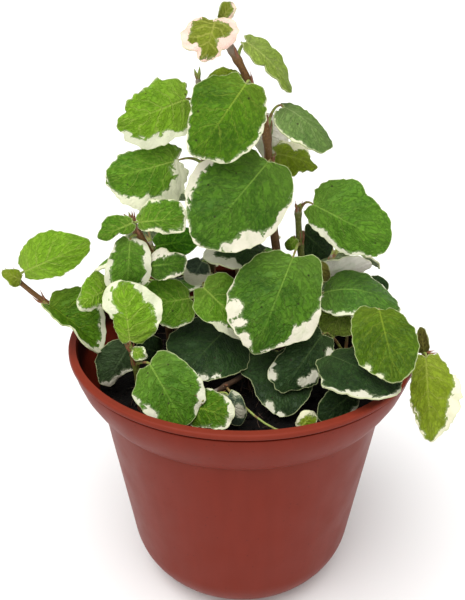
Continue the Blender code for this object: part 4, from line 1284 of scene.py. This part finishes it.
TONES = {
    # face in the light, face in its hollows, ribs, cream, share of painted shade in the laterals,
    # roughness
    "tip": ("#7f8f24", "#687319", "#a1a54a", "#f3cfbf", 0.1, 0.52),
    "lemon": ("#849b20", "#6f8315", "#9da944", "#e9e6c6", 0.3, 0.50),
    "faded": ("#88a03c", "#748c31", "#a3b15c", "#e9e6c6", 0.4, 0.50),
    "lime": ("#79a520", "#659018", "#9ab34a", "#dcdfc0", 0.25, 0.50),
    "yellow": ("#81991a", "#6a8011", "#9bab42", "#dedbb8", 0.4, 0.48),
    "fresh": ("#608e1c", "#4a7813", "#92ae46", "#dfe0c0", 0.4, 0.46),
    "spring": ("#517d0d", "#3d6409", "#86a032", "#d9d8be", 0.45, 0.46),
    "green": ("#4b7519", "#345b0f", "#749638", "#dbd6c1", 0.7, 0.45),
    "bright": ("#57841f", "#406b13", "#7da03e", "#d8d8bf", 0.6, 0.44),
    "moss": ("#4d6c0b", "#3a5606", "#7b9028", "#c9c9aa", 0.4, 0.47),
    "mature": ("#4d7724", "#375e19", "#7a9e42", "#d5d6bc", 0.7, 0.42),
    "pale": ("#66833f", "#527033", "#859a5c", "#d2d2b2", 0.4, 0.44),
    "shade": ("#4d8b0c", "#376e0a", "#78b52b", "#d5d5bb", 0.4, 0.45),
    "slate": ("#3e5530", "#2c3c21", "#596d48", "#cfcdb8", 0.6, 0.42),
    # Painted shade: dusk, and in part dark, are darker greens for leaves in the shadow inside the
    # plant; dark is also the deeper green of older leaves
    "dark": ("#2a441d", "#1a2f13", "#44592e", "#cac8b4", 0.6, 0.42),
    "dusk": ("#3d4f3c", "#293829", "#5f6f57", "#b3b19b", 0.5, 0.42),
    "olive": ("#61611e", "#463e16", "#7b7736", "#c4c4a4", 0.45, 0.52),
    "blanched": ("#8e9a66", "#7c8955", "#babd92", "#f2ece1", 0.1, 0.50),
}


def leaf_skin(name, light, deep, rib, bare, vein_shade_share, roughness, back):
    """Leaf skin: wrinkled green between the ribs, cream by the margin, a soft sheen on its wax."""
    material, tree, shader, place = surface(name, IOR=1.45, Specular_IOR_Level=0.14)
    # Painted shade: the hollow colour darkened, for the creases and the dark laterals
    shadow = tuple(value * SHADOW_SHARE for value in linear(deep)[:3]) + (1.0,)
    vein_and_shade = tuple(mix(value, dark, vein_shade_share) for value, dark in zip(linear(rib), shadow))
    share, reach, rib_mm, step_mm, edge_mm, cream_mm = [
        node(tree, "Attribute", {"attribute_name": layer}, out="Fac") for layer in BLADE_LAYERS
    ]

    # Green: wide soft patches of the lit and the hollow face colours, painted shade in the creases,
    # which run beside the laterals, and specks
    slant = node(tree, "Math", TIMES_PLUS, reach, -LATERAL_SLANT, share)
    patch = node(tree, "TexNoise", {}, place, Scale=1 / (7.0 * MM), Detail=3.0, Roughness=0.55)
    patch = node(tree, "MapRange", EASE, patch, 0.3, 0.68, 0.0, 1.0)
    green = node(tree, "Mix", COLOURS, patch, linear(deep), linear(light))
    bend = node(tree, "TexNoise", {}, place, Scale=1 / (2.4 * MM), Detail=3.0)
    up = node(tree, "Math", TIMES_PLUS, slant, WRINKLES_UP, bend)
    out = node(tree, "Math", TIMES, reach, WRINKLES_OUT)
    run = node(tree, "CombineXYZ", {}, up, out, patch)
    folds = node(tree, "TexNoise", {}, run, Scale=1.0, Detail=3.0, Roughness=0.6)
    folds = node(tree, "Math", MINUS, folds, 0.5)
    folds = node(tree, "Math", SIZE_OF, folds)
    cells = node(tree, "MapRange", EASE, folds, 0.0, 0.11, 0.0, 1.0)
    # Painted shade in the creases
    crease_shade = node(tree, "MapRange", {}, cells, 0.0, 1.0, mix(0.25, 0.6, vein_shade_share), 0.0)
    green = node(tree, "Mix", COLOURS, crease_shade, green, shadow)
    fine = node(tree, "TexNoise", {}, place, Scale=1 / (0.8 * MM), Detail=3.0)
    fine = node(tree, "MapRange", EASE, fine, 0.45, 0.72, 0.0, 0.22)
    green = node(tree, "Mix", COLOURS, fine, green, linear(rib))
    young = node(tree, "MapRange", EASE, share, 0.0, 0.5, 0.3, 0.0)
    green = node(tree, "Mix", COLOURS, young, green, linear(rib))
    specks = node(tree, "TexVoronoi", {}, place, Scale=1 / (4.2 * MM))
    specks = node(tree, "MapRange", EASE, specks, 0.05, 0.1, 0.75, 0.0)
    green = node(tree, "Mix", COLOURS, specks, green, linear(SPECK_BROWN))

    # Laterals leave the midrib in pairs and slant towards the tip; all ribs fade towards the margin
    wobble = node(tree, "TexNoise", {}, place, Scale=1 / (3.0 * MM))
    turns = node(tree, "Math", TIMES_PLUS, slant, LATERALS, wobble)
    turns = node(tree, "Math", {"operation": "FRACT"}, turns)
    turns = node(tree, "Math", MINUS, turns, 0.5)
    turns = node(tree, "Math", SIZE_OF, turns)
    lateral_mm = node(tree, "Math", TIMES, turns, step_mm)
    lateral_mm = node(tree, "Math", {"operation": "DIVIDE"}, lateral_mm, LATERALS)
    lateral = node(tree, "MapRange", EASE, lateral_mm, 0.06, 0.34, 0.7, 0.0)
    outwards = node(tree, "MapRange", EASE, reach, 0.35, 0.9, 1.0, 0.0)
    lateral = node(tree, "Math", TIMES, lateral, outwards)
    midrib = node(tree, "MapRange", EASE, rib_mm, 0.08, 0.34, 0.8, 0.0)
    onwards = node(tree, "MapRange", EASE, share, 0.25, 0.85, 1.0, 0.15)
    midrib = node(tree, "Math", TIMES, midrib, onwards)
    ribs = node(tree, "Math", {"operation": "MAXIMUM"}, midrib, lateral)
    # Painted shade: the laterals take a colour between the pale rib colour and the painted shade, by
    # the tone's share
    green = node(tree, "Mix", COLOURS, lateral, green, vein_and_shade)
    green = node(tree, "Mix", COLOURS, midrib, green, linear(rib))

    # Cream: whole blocks of cells without leaf green, so the border steps from block to block
    block = node(tree, "TexVoronoi", {}, place, Scale=1 / (1.9 * MM), out="Color")
    block = node(tree, "SeparateColor", {}, block, out="Red")
    block = node(tree, "Math", TIMES_PLUS, block, 1.1, -0.55)
    fray = node(tree, "TexNoise", {}, place, Scale=1 / (0.7 * MM), Detail=3.0)
    fray = node(tree, "Math", TIMES_PLUS, fray, 1.2, -0.6)
    border = node(tree, "Math", PLUS, cream_mm, block)
    border = node(tree, "Math", PLUS, border, fray)
    halo = node(tree, "MapRange", EASE, border, -0.7, 0.0, 0.0, 0.35)
    green = node(tree, "Mix", COLOURS, halo, green, linear(CREAM_SHADE))
    cloud = node(tree, "TexNoise", {}, place, Scale=1 / (3.5 * MM), Detail=3.0)
    cloud = node(tree, "MapRange", EASE, cloud, 0.45, 0.75, 0.0, 0.5)
    cream = node(tree, "Mix", COLOURS, cloud, linear(bare), linear(CREAM_SHADE))
    cream = node(tree, "Mix", COLOURS, crease_shade, cream, linear(bare))
    past = node(tree, "MapRange", EASE, border, -0.08, 0.1, 0.0, 1.0)
    skin = node(tree, "Mix", COLOURS, past, green, cream)
    rim = node(tree, "MapRange", EASE, edge_mm, 0.08, 0.26, 0.6, 0.0)
    skin = node(tree, "Mix", COLOURS, rim, skin, linear(RIM_PALE))
    if back:
        skin = node(tree, "Mix", COLOURS, BACK_BLOOM_SHARE, skin, linear(BACK_BLOOM))

    # Relief: domed cells, with the ribs sunk in the face and raised on the back
    smooth = node(tree, "MapRange", {}, past, 0.0, 1.0, 1.0, 0.3)
    domes = node(tree, "Math", TIMES, cells, smooth)
    height = node(tree, "Math", TIMES_PLUS, ribs, 1.2 if back else -1.2, domes)
    relief = node(tree, "Bump", {}, Strength=0.8, Distance=WRINKLE, Height=height)
    smoothest = roughness + (0.15 if back else 0)
    gloss = node(tree, "MapRange", {}, fine, 0.0, 0.3, smoothest, roughness + 0.2)
    feed(shader, Base_Color=skin, Roughness=gloss, Normal=relief)
    return material


skins = {}
for tone, finish in TONES.items():
    face = leaf_skin(tone + "_leaf_face", *finish, back=False)
    skins[tone] = [face, leaf_skin(tone + "_leaf_back", *finish, back=True)]


def by_compass(values, across, down):
    """The value for a direction in the photograph, eased between those given from up clockwise."""
    turn = (math.atan2(across, -down) / math.tau * len(values)) % len(values)
    share = turn % 1
    share = share * share * (3 - 2 * share)
    return mix(values[int(turn) % len(values)], values[(int(turn) + 1) % len(values)], share)


def edge_distances(bm):
    """How far each vertex is from the margin."""
    points = np.array([vertex.co for vertex in bm.verts])[:, None, :]
    ends = np.array([[v.co for v in edge.verts] for edge in bm.edges if edge.is_boundary])
    starts, spans = ends[None, :, 0], ends[None, :, 1] - ends[None, :, 0]
    shares = ((points - starts) * spans).sum(2) / np.maximum((spans * spans).sum(2), 1e-16)
    nearest = starts + spans * np.clip(shares, 0, 1)[:, :, None]
    return np.sqrt(((points - nearest) ** 2).sum(2)).min(1)


def make_blade(leaf, phases, rng):
    """A leaf's blade: a grid drawn out to the leaf's outline, with what its skin reads, made thick."""
    length = (leaf.tip - leaf.base).length
    grid = "small" if leaf.small else "large" if length > LARGE_BLADE else "middle"
    bm = bmesh.new()
    layers = {layer: bm.verts.layers.float.new(layer) for layer in BLADE_LAYERS}
    bmesh.ops.create_grid(bm, x_segments=GRIDS[grid][0], y_segments=GRIDS[grid][1], size=1)
    for vertex in bm.verts:
        across, share = vertex.co.x, (vertex.co.y + 1) / 2
        vertex.co = blade_point(leaf, phases, across, share)
        aside = blade_point(leaf, phases, across, share + (ASIDE if share <= 0.5 else -ASIDE))
        vertex[layers["share"]] = share
        vertex[layers["reach"]] = abs(across)
        vertex[layers["rib_mm"]] = abs(vertex.co.x) / MM
        vertex[layers["step_mm"]] = (aside - vertex.co).length / ASIDE / MM
    bmesh.ops.remove_doubles(bm, verts=bm.verts, dist=SAME_POINT)
    axes = leaf_frame(leaf)
    middle = Vector((0, leaf.widest * length, 0))
    middle_across, middle_down, _ = pixel(axes @ middle)
    seen_at = [pixel(axes @ vertex.co) for vertex in bm.verts]
    distances = edge_distances(bm)
    deepest = distances.max()
    for vertex, (across, down, _), distance in zip(bm.verts, seen_at, distances):
        out = by_compass(leaf.bulge, across - middle_across, down - middle_down)
        away = vertex.co - middle
        away.z = 0
        if away.length > SAME_POINT:
            near_margin = max(0.0, 1 - distance / RIM_TEETH_DEPTH)
            rough = noise.noise(vertex.co / RIM_TEETH_SIZE + Vector((0, 0, phases[1])))
            out = out * (1 - distance / deepest) ** 2 + 2 * leaf.ragged * rough * near_margin
            vertex.co += away.normalized() * out * MM
    cream = leaf.cream or [rng.choice(CHANCE_CREAM) for step in range(8)]
    for vertex, (across, down, mm), distance in zip(bm.verts, seen_at, edge_distances(bm)):
        width = by_compass(cream, across - middle_across, down - middle_down)
        depth = width - distance / MM
        for spot_across, spot_down, radius in leaf.blots:
            depth = max(depth, radius - math.hypot(across - spot_across, down - spot_down) * mm)
        vertex[layers["edge_mm"]] = distance / MM
        vertex[layers["cream_mm"]] = depth
    bmesh.ops.transform(bm, matrix=axes, verts=bm.verts)
    blade = placed("blade", mesh_of("blade", bm))
    thick = blade.modifiers.new("Thickness", "SOLIDIFY")
    thick.thickness = BLADE_THICKNESS
    thick.offset = 0
    thick.material_offset = 1
    thick.material_offset_rim = 0
    for skin in skins[leaf.tone]:
        blade.data.materials.append(skin)
    whole = shaped(blade)
    bpy.data.objects.remove(blade, do_unlink=True)
    return whole


for name, stem in STEMS.items():
    for index, leaf in enumerate(stem.leaves):
        rng, phases = draws(name, index)
        blade = finished(f"{name}_leaf_{index}", make_blade(leaf, phases, rng), [])
        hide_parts(name)

# Studio: a plain pale floor that runs out of sight behind, soft light from above and from the
# front, and the camera where the photograph was taken from.
FLOOR_SIZE = 60.0
CAMERA_LENS = 43.1
CAMERA_SENSOR = 36.0
FLOOR_PALE = "#f0efee"
SKY_WHITE = "#ffffff"
SKY_STRENGTH = 0.45
LAMPS = {
    # height and side that it shines from in degrees, strength, width in degrees
    "key_light": (68, -30, 3.3, 60),
    "fill_light": (40, 60, 0.4, 60),
}

bm = bmesh.new()
bmesh.ops.create_grid(bm, x_segments=1, y_segments=1, size=FLOOR_SIZE / 2)
floor = placed("studio_floor", mesh_of("studio_floor", bm))
paper = surface("matt_paper", Roughness=0.9, Base_Color=linear(FLOOR_PALE))[0]
floor.data.materials.append(paper)

world = bpy.data.worlds.new("studio")
world.use_nodes = True
sky = world.node_tree.nodes["Background"]
sky.inputs["Color"].default_value = linear(SKY_WHITE)
sky.inputs["Strength"].default_value = SKY_STRENGTH
bpy.context.scene.world = world
bpy.context.scene.view_settings.view_transform = "Standard"

for name, (height, side, strength, width) in LAMPS.items():
    lamp = bpy.data.lights.new(name, "SUN")
    lamp.energy = strength
    lamp.angle = math.radians(width)
    placed(name, lamp).rotation_euler = (math.radians(90 - height), 0, math.radians(side))

lens = bpy.data.cameras.new("photo_camera")
lens.sensor_fit = "VERTICAL"
lens.sensor_height = CAMERA_SENSOR
lens.lens = CAMERA_LENS
lens.clip_start = 0.01
camera = placed("photo_camera", lens)
view = Matrix((EYE_RIGHT, EYE_UP, -EYE_AIM)).transposed().to_4x4()
view.translation = EYE
camera.matrix_world = view
bpy.context.scene.camera = camera
